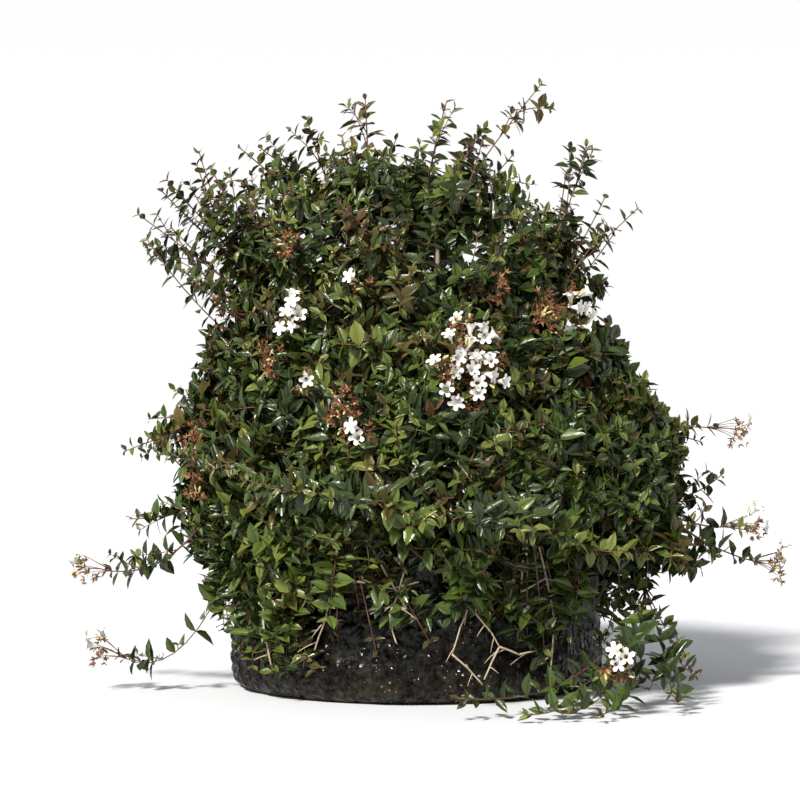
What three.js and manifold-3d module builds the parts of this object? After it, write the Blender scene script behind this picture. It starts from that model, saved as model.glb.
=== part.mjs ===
// A potted glossy abelia: a many-stemmed flowering shrub that fills and overhangs a black grow bag.
// Millimetres, +Z up. x runs to the right and -y towards the viewer, and the origin is the middle of the
// bag's flat underside. Leaves are fewer and larger than life, so that the crown keeps its density.

import * as THREE from "three";
import { mergeVertices } from "three/addons/utils/BufferGeometryUtils.js";
import Module from "manifold-3d";

const wasm = await Module();
wasm.setup();

const { Vector3 } = THREE;
const UP = new Vector3(0, 0, 1);
const GOLDEN_ANGLE = Math.PI * (3 - Math.sqrt(5));
const TOUCH = 0.3; // the gap left between pieces that bear on each other
const radians = THREE.MathUtils.degToRad;

// The grow bag: a thin polythene skin with a folded hem, full of compost.
const BAG = {
  height: 250,
  flatRadius: 212,
  footRadius: 231,
  footRise: 34,
  bodyRadius: 227,
  bodyHeight: 130,
  mouthRadius: 224,
  wall: 2.6,
  floor: 5,
  hem: 3,
  hemDepth: 22,
};
const SOIL = { level: 226, edgeDrop: 5, flatRadius: 70 };
const ROUND_SIDES = 36;

// The short woody stem that every bough leaves, with its root flare on the compost.
const STEM = { flare: 50, waist: 29, height: 66, lean: 4, roots: 5, rootSwell: 0.16, sides: 20 };

// The crown's outline as [radius, height], from the hem of the skirt up to the top, and how it leans
// to the left as it rises.
const CROWN_OUTLINE = [
  [250, 62], [268, 104], [298, 165], [308, 235], [303, 300], [280, 354], [258, 404],
  [230, 454], [214, 504], [222, 560], [214, 612], [185, 650], [110, 668], [0, 674],
];
const CROWN_LEAN = { lowX: 20, lowZ: 300, highX: -28, highZ: 540 };
const CROWN_LOBES = [[3, 0.025, 0.6], [5, 0.02, 2.1], [8, 0.015, 4.4]];
const OFF_THE_BAG = 20; // how far the skirt keeps away from the bag's wall

// The skirt's hem hangs low at the four quarters and is lifted at the front, the back and the sides.
const HEM = { height: 88, from: 165, wave: 30, waves: 4 };

// The four tiers of foliage. seat is the [radius, height] that a mass is nearest to, face the height at
// which its stem comes out of the crown, reach how far its leaves spread across and up the outline, and
// tip where its bough ends. Leaves stand in opposite pairs, each pair a quarter turn from the last.
const TIERS = [
  {
    name: "skirt", count: 8, first: 22.5, seat: [268, 212], face: 176, reach: [118, 98],
    bough: { from: [16, 238], bend: [150, 292], tip: [250, 268], radii: [5.6, 3.4] },
    twigs: 1, sprays: 4, pairs: 2, leaf: [60, 32], spacing: 46, hang: 0.12,
  },
  {
    name: "middle", count: 8, first: 0, seat: [240, 350], face: 346, reach: [112, 72],
    bough: { from: [16, 244], bend: [80, 290], tip: [156, 326], radii: [6.2, 3.6] },
    twigs: 1, sprays: 4, pairs: 2, leaf: [60, 32], spacing: 46, hang: 0.04,
  },
  {
    name: "upper", count: 6, first: 30, seat: [190, 490], face: 484, reach: [120, 78],
    bough: { from: [16, 255], bend: [52, 330], tip: [108, 430], radii: [7, 3.8] },
    twigs: 2, sprays: 6, pairs: 2, leaf: [60, 32], spacing: 46, hang: -0.04,
  },
  {
    name: "top", count: 4, first: 45, seat: [105, 620], face: 660, reach: [112, 124],
    bough: { from: [13, 276], bend: [22, 400], tip: [58, 520], radii: [7.2, 3.8] },
    twigs: 5, sprays: 0, pairs: 2, leaf: [62, 33], spacing: 46, hang: -0.08,
  },
];
const BOUGH = { sides: 5, steps: 3, sway: 9 };
const MASS_STEM = { sides: 4, steps: 3, radii: [3.2, 1.6], depth: -10, twigsAt: [0.35, 0.6] };
const TWIG = { sides: 3, stepLength: 60, radii: [2.2, 1.2], depth: [-8, 14], bare: 0.16, tip: 7 };
const SPRAY = { sunk: 5, opening: 1.1, tilt: 0.4 };
const LEAF = { widest: 0.36, crest: 0.2, thick: 0.032, fold: 0.07, droop: 0.1, stagger: 1.3 };
const CLEAR = 0.6; // what stays free between a mass and its neighbours, and between leaves and limbs

// The packed growth inside the crown: a rough shell. face gives how far under the crown's face it lies as
// [height, depth], and inside is its inner side as [radius, height], clear of every bough's tip.
const CORE = {
  sides: 18,
  turn: 3,
  roughness: 10,
  face: [[88, 14], [165, 26], [250, 28], [340, 28], [430, 28], [504, 36], [570, 48], [622, 62], [674, 84]],
  inside: [[0, 560], [74, 540], [106, 500], [152, 404], [184, 294], [260, 292], [264, 262], [246, 88]],
};

// Shoots that stand out of the crown: the furthest point that each one reaches, and what it is. Upright
// and trailing shoots carry leaf pairs only, flowering ones end in a head of blossom, and weeping ones are
// old wood that hangs bare.
const SHOOTS = [
  [159, -40, 750, "upright"], [-63, -60, 732, "upright"], [-138, -20, 711, "upright"],
  [39, -90, 724, "upright"], [-24, 70, 696, "upright"], [215, -60, 668, "upright"],
  [281, -30, 597, "upright"], [-194, -70, 668, "upright"], [-276, -30, 652, "upright"],
  [-309, -80, 628, "upright"], [-351, -20, 590, "upright"], [90, 150, 716, "upright"],
  [-120, 190, 690, "upright"], [60, 300, 585, "upright"], [-150, 285, 560, "upright"],
  [-358, -50, 205, "upright"], [-371, -10, 288, "upright"], [-408, -20, 137, "flowering"],
  [-388, -80, 50, "flowering"], [404, -20, 318, "flowering"], [410, -70, 193, "flowering"],
  [446, -30, 143, "flowering"], [322, -175, 48, "trailing"], [292, -300, 26, "trailing"],
  [196, -380, 30, "flowering"], [52, -366, 28, "trailing"], [130, 395, 180, "flowering"],
  [-60, 412, 250, "upright"], [-210, 350, 110, "flowering"],
  [88, -281, 34, "weeping"], [-104, -276, 52, "weeping"], [-172, -240, 36, "weeping"],
  [160, -268, 30, "weeping"], [48, -288, 96, "weeping"], [40, 292, 60, "weeping"],
];
const SHOOT_KINDS = {
  upright: { pairs: 2, leaf: [46, 21], spacing: 44, lift: 0.05, flowers: 0, beyond: 16, radii: [2.2, 1.2] },
  flowering: { pairs: 1, leaf: [46, 21], spacing: 44, lift: 0.1, flowers: 2, beyond: 26, radii: [2.2, 1.3] },
  trailing: { pairs: 3, leaf: [42, 19], spacing: 52, lift: 0.16, flowers: 0, beyond: 14, radii: [2.2, 1.2] },
  weeping: { pairs: 0, leaf: [40, 18], spacing: 40, lift: 0.5, flowers: 0, beyond: 10, radii: [2.6, 1.3] },
};

// Heads of blossom on the crown's face as [azimuth in degrees, height, flowers]; -90 faces the viewer.
const FLOWER_HEADS = [
  [-76, 412, 6], [-28, 464, 3], [-118, 458, 3], [-101, 322, 1], [62, 380, 2], [105, 470, 2], [150, 420, 2],
];
const FLOWER = { length: 32, mouth: 15, throat: 9, lobes: 5, cone: 1.1, step: 6 };

// Draws evenly spread numbers from 0 to 1, the same ones for the same seed.
function random(seed) {
  let state = seed >>> 0;
  return () => {
    state = (state + 0x6d2b79f5) >>> 0;
    let t = Math.imul(state ^ (state >>> 15), state | 1);
    t ^= t + Math.imul(t ^ (t >>> 7), t | 61);
    return ((t ^ (t >>> 14)) >>> 0) / 4294967296;
  };
}

// Solids and geometry

function solid(geometry) {
  const bare = geometry.clone();
  bare.deleteAttribute("normal");
  bare.deleteAttribute("uv");
  const merged = mergeVertices(bare, 1e-4);
  return new wasm.Manifold(
    new wasm.Mesh({
      numProp: 3,
      vertProperties: new Float32Array(merged.attributes.position.array),
      triVerts: new Uint32Array(merged.index.array),
    }),
  );
}

// The largest body of a solid, without loose scraps and with any sealed hollow filled.
function wholeBody(made) {
  return made.decompose().reduce((best, body) => (body.volume() > best.volume() ? body : best));
}

function geometryOf(made) {
  const { vertProperties, triVerts, numProp } = made.getMesh();
  const positions = new Float32Array((vertProperties.length / numProp) * 3);
  for (let i = 0; i < positions.length / 3; i++) {
    positions.set(vertProperties.subarray(i * numProp, i * numProp + 3), i * 3);
  }
  const geometry = new THREE.BufferGeometry();
  geometry.setAttribute("position", new THREE.BufferAttribute(positions, 3));
  geometry.setIndex(new THREE.BufferAttribute(triVerts, 1));
  const faceted = geometry.toNonIndexed();
  faceted.computeVertexNormals();
  return faceted;
}

// A lathe turned about Z from [radius, height] pairs that start and end on the axis.
function turned(profile, sides) {
  const points = profile.map(([radius, height]) => new THREE.Vector2(radius, height));
  return new THREE.LatheGeometry(points, sides).rotateX(Math.PI / 2);
}

function moveVertices(geometry, place) {
  const position = geometry.attributes.position;
  const vertex = new Vector3();
  for (let i = 0; i < position.count; i++) {
    place(vertex.fromBufferAttribute(position, i));
    position.setXYZ(i, vertex.x, vertex.y, vertex.z);
  }
  return geometry;
}

// A tapering limb along a curve: a cylinder whose rings are carried to the curve.
function limb({ curve, radii: [rootRadius, tipRadius], sides, steps }) {
  const bendNormal = curve.v1.clone().sub(curve.v0).cross(curve.v2.clone().sub(curve.v0));
  if (bendNormal.length() < 1e-3) bendNormal.set(1, 0.3, 0);
  bendNormal.normalize();
  const rod = new THREE.CylinderGeometry(1, 1, 1, sides, steps);
  moveVertices(rod, (vertex) => {
    const along = vertex.y + 0.5;
    const radius = THREE.MathUtils.lerp(rootRadius, tipRadius, along);
    const across = curve.getTangent(along).cross(bendNormal).normalize();
    const size = Math.hypot(vertex.x, vertex.z);
    const [u, v] = size > 1e-9 ? [vertex.x / size, vertex.z / size] : [0, 0];
    vertex
      .copy(curve.getPoint(along))
      .addScaledVector(across, u * radius)
      .addScaledVector(bendNormal, v * radius);
  });
  return solid(rod);
}

// The leaf is an octahedron drawn out into a pointed oval: folded a little along its midrib, thickest
// there, widest a third of the way up, and bowed down towards its tip.
function leafCorners({ root, along, face, length, width }) {
  const across = new Vector3().crossVectors(face, along).normalize();
  const upper = new Vector3().crossVectors(along, across).normalize();
  const corner = (x, y, z) =>
    root.clone().addScaledVector(along, x).addScaledVector(across, y).addScaledVector(upper, z);
  const fold = LEAF.fold * length;
  const half = (LEAF.thick * length) / 2;
  return {
    root: corner(0, 0, 0),
    tip: corner(length, 0, -LEAF.droop * length),
    left: corner(LEAF.widest * length, width / 2, 0),
    right: corner(LEAF.widest * length, -width / 2, 0),
    crest: corner(LEAF.crest * length, 0, half - fold * 0.5),
    keel: corner(LEAF.crest * length, 0, -half - fold * 0.5),
  };
}

function leafSolid(leaf) {
  const corners = leafCorners(leaf);
  const shape = new THREE.OctahedronGeometry(1);
  moveVertices(shape, (vertex) => {
    if (vertex.x > 0.5) vertex.copy(corners.tip);
    else if (vertex.x < -0.5) vertex.copy(corners.root);
    else if (vertex.y > 0.5) vertex.copy(corners.left);
    else if (vertex.y < -0.5) vertex.copy(corners.right);
    else vertex.copy(vertex.z > 0 ? corners.crest : corners.keel);
  });
  return solid(shape);
}

// A white trumpet of five lobes: a five-sided cone with a hollow mouth.
function flowerSolid({ root, along, length }) {
  const cone = new THREE.ConeGeometry(1, 1, FLOWER.lobes, 1);
  const turn = new THREE.Quaternion().setFromUnitVectors(new Vector3(0, -1, 0), along);
  const scale = length / FLOWER.length;
  moveVertices(cone, (vertex) => {
    const isApex = vertex.y > 0;
    const isThroat = !isApex && Math.hypot(vertex.x, vertex.z) < 1e-6;
    const depth = isApex ? 0 : length - (isThroat ? FLOWER.throat * scale : 0);
    vertex.set(vertex.x * FLOWER.mouth * scale, -depth, vertex.z * FLOWER.mouth * scale);
    vertex.applyQuaternion(turn).add(root);
  });
  return solid(cone);
}

// The crown's outline

const outlineSteps = CROWN_OUTLINE.slice(1).map(([radius, height], i) => {
  const [radiusBefore, heightBefore] = CROWN_OUTLINE[i];
  return Math.hypot(radius - radiusBefore, height - heightBefore);
});
const OUTLINE_LENGTH = outlineSteps.reduce((sum, step) => sum + step, 0);

// [radius, height] on the outline at a distance from its low end.
function alongOutline(distance) {
  let left = THREE.MathUtils.clamp(distance, 0, OUTLINE_LENGTH - 1e-6);
  let i = 0;
  while (left > outlineSteps[i]) left -= outlineSteps[i++];
  const share = left / outlineSteps[i];
  return [0, 1].map((k) =>
    THREE.MathUtils.lerp(CROWN_OUTLINE[i][k], CROWN_OUTLINE[i + 1][k], share),
  );
}

// How far along the outline a height lies.
function distanceAt(height) {
  let distance = 0;
  for (let i = 0; i < outlineSteps.length; i++) {
    const [below, above] = [CROWN_OUTLINE[i][1], CROWN_OUTLINE[i + 1][1]];
    if (height <= above) return distance + (outlineSteps[i] * (height - below)) / (above - below);
    distance += outlineSteps[i];
  }
  return distance;
}

function leanAt(height) {
  const share = (height - CROWN_LEAN.lowZ) / (CROWN_LEAN.highZ - CROWN_LEAN.lowZ);
  return THREE.MathUtils.lerp(CROWN_LEAN.lowX, CROWN_LEAN.highX, THREE.MathUtils.clamp(share, 0, 1));
}

// A point of the crown's face, at an azimuth and a distance along its outline, pushed out by depth. It
// keeps off the wall of the bag.
function crownPoint(azimuth, distance, depth = 0) {
  const [radius, height] = alongOutline(distance);
  const swell = CROWN_LOBES.reduce(
    (sum, [waves, size, phase]) => sum + size * Math.cos(waves * azimuth + phase),
    1,
  );
  const reach = radius * swell + depth * Math.min(1, radius / 120);
  const rise = depth * (1 - Math.min(1, radius / 240));
  const point = new Vector3(leanAt(height) + reach * Math.cos(azimuth), reach * Math.sin(azimuth));
  if (height < BAG.height + OFF_THE_BAG) {
    point.setLength(Math.max(point.length(), BAG.footRadius + OFF_THE_BAG));
  }
  return point.setZ(hungAt(azimuth, height) + rise);
}

// The height to which the waving of the hem moves a height of the skirt.
function hungAt(azimuth, height) {
  if (height >= HEM.from) return height;
  const hem = HEM.height + HEM.wave * Math.cos(HEM.waves * (azimuth + Math.PI / 2));
  return THREE.MathUtils.mapLinear(height, HEM.height, HEM.from, hem, HEM.from);
}

function ringPoint(azimuth, [radius, height]) {
  const lean = leanAt(height) * Math.min(1, radius / 100);
  return new Vector3(lean + radius * Math.cos(azimuth), radius * Math.sin(azimuth), height);
}

// The packed growth under the crown's face, from which each mass takes what lies in its own space.
function packedGrowth() {
  const face = CORE.face.map(([height]) => [alongOutline(distanceAt(height))[0], height]);
  const shape = turned([...CORE.inside, ...face], CORE.sides).rotateZ(radians(CORE.turn));
  return moveVertices(shape, (vertex) => {
    const azimuth = Math.atan2(vertex.y, vertex.x);
    const radius = Math.hypot(vertex.x, vertex.y);
    const ring = face.findIndex(([r, z]) => Math.hypot(r - radius, z - vertex.z) < 0.01);
    if (ring < 0) {
      if (vertex.z > BAG.height) vertex.x += leanAt(vertex.z) * Math.min(1, radius / 100);
      vertex.z = hungAt(azimuth, vertex.z);
      return;
    }
    const wave = Math.sin(azimuth * 13 + ring * 2.4) + Math.cos(azimuth * 7 - ring * 1.9);
    const depth = radius < 1 ? 0 : (wave * CORE.roughness) / 2;
    vertex.copy(crownPoint(azimuth, distanceAt(vertex.z), depth - CORE.face[ring][1]));
  });
}

const packedMesh = new THREE.Mesh(packedGrowth(), new THREE.MeshBasicMaterial({ side: THREE.DoubleSide }));
const packed = solid(packedMesh.geometry);

// The point of the packed growth's face that lies under a point of the crown's face, sunk a little.
function sunkPoint(azimuth, distance, sunk) {
  const from = crownPoint(azimuth, distance, 80);
  const inward = crownPoint(azimuth, distance, -80).sub(from).normalize();
  const [hit] = new THREE.Raycaster(from, inward).intersectObject(packedMesh);
  return hit ? hit.point.addScaledVector(inward, sunk) : null;
}

// The rule of growth

// A limb that leaves a heading, turned already towards its own end, and lifts or hangs on the way.
function arching(start, heading, end, lift) {
  const span = start.distanceTo(end);
  const lead = end.clone().sub(start).multiplyScalar(2 / span).add(heading).normalize();
  const bend = start.clone().addScaledVector(lead, 0.45 * span).addScaledVector(UP, lift * span);
  return new THREE.QuadraticBezierCurve3(start, bend, end);
}

function lengthOf(curve) {
  const chord = curve.v0.distanceTo(curve.v2);
  return (2 * chord + curve.v0.distanceTo(curve.v1) + curve.v1.distanceTo(curve.v2)) / 3;
}

// Where the axis of a limb runs at t, and which way: straight on between two of its rings.
function axisAt({ curve, steps }, t) {
  const ring = Math.min(Math.floor(t * steps), steps - 1);
  const [low, high] = [curve.getPoint(ring / steps), curve.getPoint((ring + 1) / steps)];
  const forward = high.clone().sub(low).normalize();
  return { at: low.lerp(high, t * steps - ring), forward };
}

const masses = TIERS.flatMap((tier, row) =>
  Array.from({ length: tier.count }, (_, index) => {
    const azimuth = radians(tier.first + (index * 360) / tier.count);
    const seed = 64 * (100 * (row + 1) + index);
    const draw = random(seed);
    const { from, bend, tip, radii } = tier.bough;
    const sway = () => (draw() - 0.5) * 2 * BOUGH.sway;
    const start = ringPoint(azimuth, from);
    const end = ringPoint(azimuth, tip);
    const middle = ringPoint(azimuth, bend).add(new Vector3(sway(), sway(), sway() / 2));
    const bough = new THREE.QuadraticBezierCurve3(start, middle, end);
    const heading = bough.getTangent(1);
    const root = end.clone().addScaledVector(heading, TOUCH);
    const face = distanceAt(tier.face);
    const tipPoint = crownPoint(azimuth, face, MASS_STEM.depth);
    const lead = root.clone().addScaledVector(heading, 0.3 * root.distanceTo(tipPoint));
    const stem = {
      curve: new THREE.QuadraticBezierCurve3(root, lead, tipPoint),
      radii: MASS_STEM.radii,
      sides: MASS_STEM.sides,
      steps: MASS_STEM.steps,
    };
    return {
      tier, azimuth, seed, bough, stem, face, radii,
      name: `${tier.name}_${index + 1}`,
      seat: ringPoint(azimuth, tier.seat),
      limbs: [],
      leaves: [],
      flowers: [],
    };
  }),
);

// How far inside its own space a point of a mass lies: the part of the crown nearer its seat than any.
function roomAt(mass, point) {
  let room = Infinity;
  for (const other of masses) {
    if (other === mass) continue;
    const apart = other.seat.clone().sub(mass.seat);
    const middle = other.seat.clone().add(mass.seat).multiplyScalar(0.5);
    room = Math.min(room, middle.sub(point).dot(apart) / apart.length());
  }
  return room;
}

const boughPoints = masses.flatMap(({ bough, radii }) =>
  Array.from({ length: 25 }, (_, i) => [
    bough.getPoint(i / 24),
    THREE.MathUtils.lerp(radii[0], radii[1], i / 24),
  ]),
);

// Whether a ball lies in a mass's own space and is clear of every bough, the bag and the ground.
function fits(mass, point, radius) {
  const toAxis = Math.hypot(point.x, point.y);
  if (point.z < 5 + radius) return false;
  if (point.z < BAG.height + 4 + radius && toAxis < BAG.footRadius + 4 + radius) return false;
  if (boughPoints.some(([at, size]) => at.distanceTo(point) < size + radius + 2)) return false;
  return roomAt(mass, point) > radius + CLEAR;
}

function limbFits(mass, curve, radius) {
  return [0.2, 0.35, 0.5, 0.65, 0.8, 0.9, 1].every((t) => fits(mass, curve.getPoint(t), radius));
}

// A leaf fits where its corners do, and where it keeps half its length away from the middle of the next.
function leafFits(mass, leaf) {
  const middle = leaf.root.clone().addScaledVector(leaf.along, 0.45 * leaf.length);
  if (mass.leaves.some((other) => other.middle.distanceTo(middle) < 0.55 * leaf.length)) return false;
  const { root, ...corners } = leafCorners(leaf);
  if (!Object.values(corners).every((corner) => fits(mass, corner, 0.3))) return false;
  leaf.middle = middle;
  return fits(mass, middle, 0.25 * leaf.width);
}

// Leaves in opposite pairs back from the tip of a limb, each pair a quarter turn from the last.
function addLeaves(mass, twig, { pairs, leaf: [length, width], spacing }, draw) {
  const long = lengthOf(twig.curve);
  const firstTurn = (draw() - 0.5) * 0.9;
  for (let pair = 0; pair < pairs; pair++) {
    const opening = radians(pair === 0 ? 42 : 58) + (draw() - 0.5) * 0.2;
    const turn = firstTurn + pair * (Math.PI / 2);
    for (const side of [1, -1]) {
      const t = 1 - (TWIG.tip + pair * spacing + side * LEAF.stagger) / long;
      const size = 0.85 + 0.3 * draw();
      if (t < TWIG.bare) continue;
      const { at, forward } = axisAt(twig, t);
      const level = new Vector3().crossVectors(forward, UP);
      if (level.length() < 0.05) level.set(1, 0, 0);
      level.normalize();
      const upright = new Vector3().crossVectors(level, forward).normalize();
      const sideways = level.clone().multiplyScalar(side * Math.cos(turn));
      sideways.addScaledVector(upright, side * Math.sin(turn));
      const along = forward.clone().multiplyScalar(Math.cos(opening));
      along.addScaledVector(sideways, Math.sin(opening)).normalize();
      const face = forward.clone().multiplyScalar(0.6).addScaledVector(UP, 0.6);
      face.addScaledVector(sideways, -0.25);
      const leaf = { root: at, along, face, length: length * size, width: width * size };
      if (leafFits(mass, leaf)) mass.leaves.push(leaf);
    }
  }
}

// A pair of leaves that stands out of the packed growth, with its root sunk in it.
function addSpray(mass, azimuth, distance, draw) {
  const { leaf: [length, width] } = mass.tier;
  const root = sunkPoint(azimuth, distance, SPRAY.sunk);
  if (!root) return;
  const forward = crownPoint(azimuth, distance, 20).sub(root).normalize();
  const level = new Vector3(-Math.sin(azimuth), Math.cos(azimuth), 0);
  const upright = new Vector3().crossVectors(forward, level).normalize();
  forward.addScaledVector(UP, SPRAY.tilt * (draw() - 0.35)).normalize();
  const turn = draw() * Math.PI;
  for (const side of [1, -1]) {
    const sideways = level.clone().multiplyScalar(side * Math.cos(turn));
    sideways.addScaledVector(upright, side * Math.sin(turn));
    const along = forward.clone().addScaledVector(sideways, SPRAY.opening).normalize();
    const face = forward.clone().multiplyScalar(0.8).addScaledVector(UP, 0.5);
    const size = 0.85 + 0.3 * draw();
    const leaf = { root, along, face, length: length * size, width: width * size };
    if (leafFits(mass, leaf)) mass.leaves.push(leaf);
  }
}

// A fan of flowers back from the tip of a limb.
function addFlowers(mass, twig, count, draw) {
  const long = lengthOf(twig.curve);
  for (let i = 0; i < count; i++) {
    const { at, forward } = axisAt(twig, 1 - (2 + FLOWER.step * i) / long);
    const level = new Vector3().crossVectors(forward, new Vector3(0.3, 0.1, 1)).normalize();
    const upright = new Vector3().crossVectors(level, forward).normalize();
    const spread = FLOWER.cone * Math.sqrt((i + 0.3) / count);
    const turn = i * GOLDEN_ANGLE + draw();
    const along = forward.clone().addScaledVector(level, spread * Math.cos(turn));
    along.addScaledVector(upright, spread * Math.sin(turn)).normalize();
    const length = FLOWER.length * (0.85 + 0.25 * draw());
    const mouth = at.clone().addScaledVector(along, length);
    if (fits(mass, mouth, FLOWER.mouth)) mass.flowers.push({ root: at, along, length });
  }
}

function addTwig(mass, tip, from, lift, radii) {
  const { at, forward } = axisAt(mass.stem, from);
  const curve = arching(at, forward, tip, lift);
  if (!limbFits(mass, curve, radii[0])) return null;
  const steps = Math.max(2, Math.round(lengthOf(curve) / TWIG.stepLength));
  const twig = { curve, radii, sides: TWIG.sides, steps };
  mass.limbs.push(twig);
  return twig;
}

// What a mass grows: its stem's own tip, then twigs, then sprays of leaves between them, to points laid
// out like a sunflower's seeds over its part of the crown's face. The further out a point lies, the lower
// down the stem its twig leaves.
function growMass(mass) {
  const { tier, azimuth, face, stem, seed } = mass;
  const [outer] = alongOutline(face);
  const points = tier.twigs + tier.sprays;
  mass.limbs.push(stem);
  addLeaves(mass, stem, { ...tier, pairs: 1 }, random(seed + 1));
  for (let i = 1; i <= points; i++) {
    const draw = random(seed + 1 + i);
    const spread = Math.sqrt(i / points);
    const turn = i * GOLDEN_ANGLE + azimuth;
    const across = azimuth + (spread * Math.cos(turn) * tier.reach[0]) / Math.max(outer, 150);
    const up = face + spread * Math.sin(turn) * tier.reach[1];
    if (i % Math.round(points / tier.twigs) !== 0) {
      addSpray(mass, across, up, draw);
      continue;
    }
    const tip = crownPoint(across, up, THREE.MathUtils.lerp(TWIG.depth[0], TWIG.depth[1], draw()));
    const from = THREE.MathUtils.lerp(MASS_STEM.twigsAt[1], MASS_STEM.twigsAt[0], spread);
    const twig = addTwig(mass, tip, from, tier.hang, TWIG.radii);
    if (twig) addLeaves(mass, twig, tier, draw);
  }
}

function massNearest(point) {
  return masses.reduce((best, mass) =>
    mass.seat.distanceTo(point) < best.seat.distanceTo(point) ? mass : best,
  );
}

// Shoots beyond the crown's face, and the heads of blossom on it, leave the stem of the nearest mass.
function growShoot(furthest, kind, flowers, seed) {
  const mass = massNearest(furthest);
  const draw = random(seed);
  const inward = mass.stem.curve.v0.clone().sub(furthest).normalize();
  const tip = furthest.clone().addScaledVector(inward, kind.beyond);
  const twig = addTwig(mass, tip, 0.4 + 0.2 * draw(), kind.lift, kind.radii);
  if (!twig) return;
  addFlowers(mass, twig, flowers, draw);
  addLeaves(mass, twig, kind, draw);
}

SHOOTS.forEach(([x, y, z, name], i) => {
  const kind = SHOOT_KINDS[name];
  growShoot(new Vector3(x, y, z), kind, kind.flowers, 7000 + i);
});
FLOWER_HEADS.forEach(([azimuth, height, flowers], i) => {
  const tip = crownPoint(radians(azimuth), distanceAt(height), 20);
  growShoot(tip, SHOOT_KINDS.flowering, flowers, 8000 + i);
});
masses.forEach(growMass);

// The pieces

const bagInside = [
  [BAG.mouthRadius - BAG.wall, BAG.height],
  [BAG.bodyRadius - BAG.wall, BAG.bodyHeight],
  [BAG.footRadius - BAG.wall, BAG.footRise],
  [BAG.flatRadius - 2, BAG.floor],
];

function bag() {
  return turned(
    [
      [0, 0],
      [BAG.flatRadius, 0],
      [BAG.flatRadius + 13, 7],
      [BAG.footRadius, BAG.footRise],
      [BAG.bodyRadius, BAG.bodyHeight],
      [BAG.mouthRadius, BAG.height - BAG.hemDepth - BAG.hem],
      [BAG.mouthRadius + BAG.hem, BAG.height - BAG.hemDepth],
      [BAG.mouthRadius + BAG.hem, BAG.height],
      ...bagInside,
      [0, BAG.floor],
    ],
    ROUND_SIDES,
  );
}

function soil() {
  const within = ([radius, height]) => [radius - TOUCH, height + TOUCH];
  const [mouth, body, ...low] = bagInside;
  const share = (SOIL.level - SOIL.edgeDrop - BAG.bodyHeight) / (BAG.height - BAG.bodyHeight);
  const edgeRadius = THREE.MathUtils.lerp(body[0], mouth[0], share) - TOUCH;
  return turned(
    [
      [0, BAG.floor + TOUCH],
      ...low.reverse().map(within),
      [body[0] - TOUCH, BAG.bodyHeight],
      [edgeRadius, SOIL.level - SOIL.edgeDrop],
      [SOIL.flatRadius, SOIL.level],
      [0, SOIL.level],
    ],
    ROUND_SIDES,
  );
}

// The stem leans a little, and swells into roots at its foot. grown widens it, to cut its boughs clear.
function stem(grown = 0) {
  const { flare, waist, height } = STEM;
  const foot = SOIL.level + TOUCH;
  const outline = [
    [flare * 0.76, 7],
    [waist * 1.1, 20],
    [waist, height * 0.55],
    [waist * 0.86, height * 0.82],
    [waist * 0.45, height * 0.97],
  ];
  const shape = turned(
    [
      [0, -grown],
      [flare + grown, -grown],
      ...outline.map(([radius, rise]) => [radius + grown, rise + grown]),
      [0, height + grown],
    ],
    STEM.sides,
  );
  return moveVertices(shape, (vertex) => {
    const low = Math.max(0, 1 - vertex.z / 24);
    const swell = 1 + STEM.rootSwell * low * Math.cos(STEM.roots * Math.atan2(vertex.y, vertex.x));
    vertex.set(vertex.x * swell - (STEM.lean * vertex.z) / height, vertex.y * swell, vertex.z + foot);
  });
}

function cutToSpace(mass, shape) {
  let cut = shape;
  for (const other of masses) {
    if (other === mass) continue;
    const apart = mass.seat.clone().sub(other.seat).normalize();
    const middle = other.seat.clone().add(mass.seat).multiplyScalar(0.5);
    cut = cut.trimByPlane(apart.toArray(), middle.dot(apart) + CLEAR);
  }
  return cut;
}

function foliage(mass) {
  const shapes = [
    ...mass.limbs.map(limb),
    ...mass.leaves.map(leafSolid),
    ...mass.flowers.map(flowerSolid),
  ];
  shapes.push(cutToSpace(mass, packed));
  return wholeBody(wasm.Manifold.union(shapes).simplify(0.1));
}

const finishes = {
  bag: new THREE.MeshStandardMaterial({ color: 0x17181a, roughness: 0.42, metalness: 0 }),
  soil: new THREE.MeshStandardMaterial({ color: 0x2b1d14, roughness: 0.95, metalness: 0 }),
  wood: new THREE.MeshStandardMaterial({ color: 0x8a6d54, roughness: 0.85, metalness: 0 }),
  foliage: new THREE.MeshStandardMaterial({ color: 0x33491f, roughness: 0.4, metalness: 0 }),
};

function piece(name, geometry, finish) {
  const mesh = new THREE.Mesh(geometry, finish);
  mesh.name = name;
  return mesh;
}

const plant = new THREE.Group();
plant.add(piece("pot", bag(), finishes.bag));
plant.add(piece("compost", soil(), finishes.soil));
plant.add(piece("stem", stem(), finishes.wood));

const socket = solid(stem(TOUCH));
for (const mass of masses) {
  const whole = limb({ curve: mass.bough, radii: mass.radii, sides: BOUGH.sides, steps: BOUGH.steps });
  const bough = wholeBody(whole.subtract(socket));
  plant.add(piece(`bough_${mass.name}`, geometryOf(bough), finishes.wood));
  plant.add(piece(`foliage_${mass.name}`, geometryOf(foliage(mass)), finishes.foliage));
}

export default plant;
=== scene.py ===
import math

import bmesh
import bpy
import numpy as np
from mathutils import Matrix, Vector, noise


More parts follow.
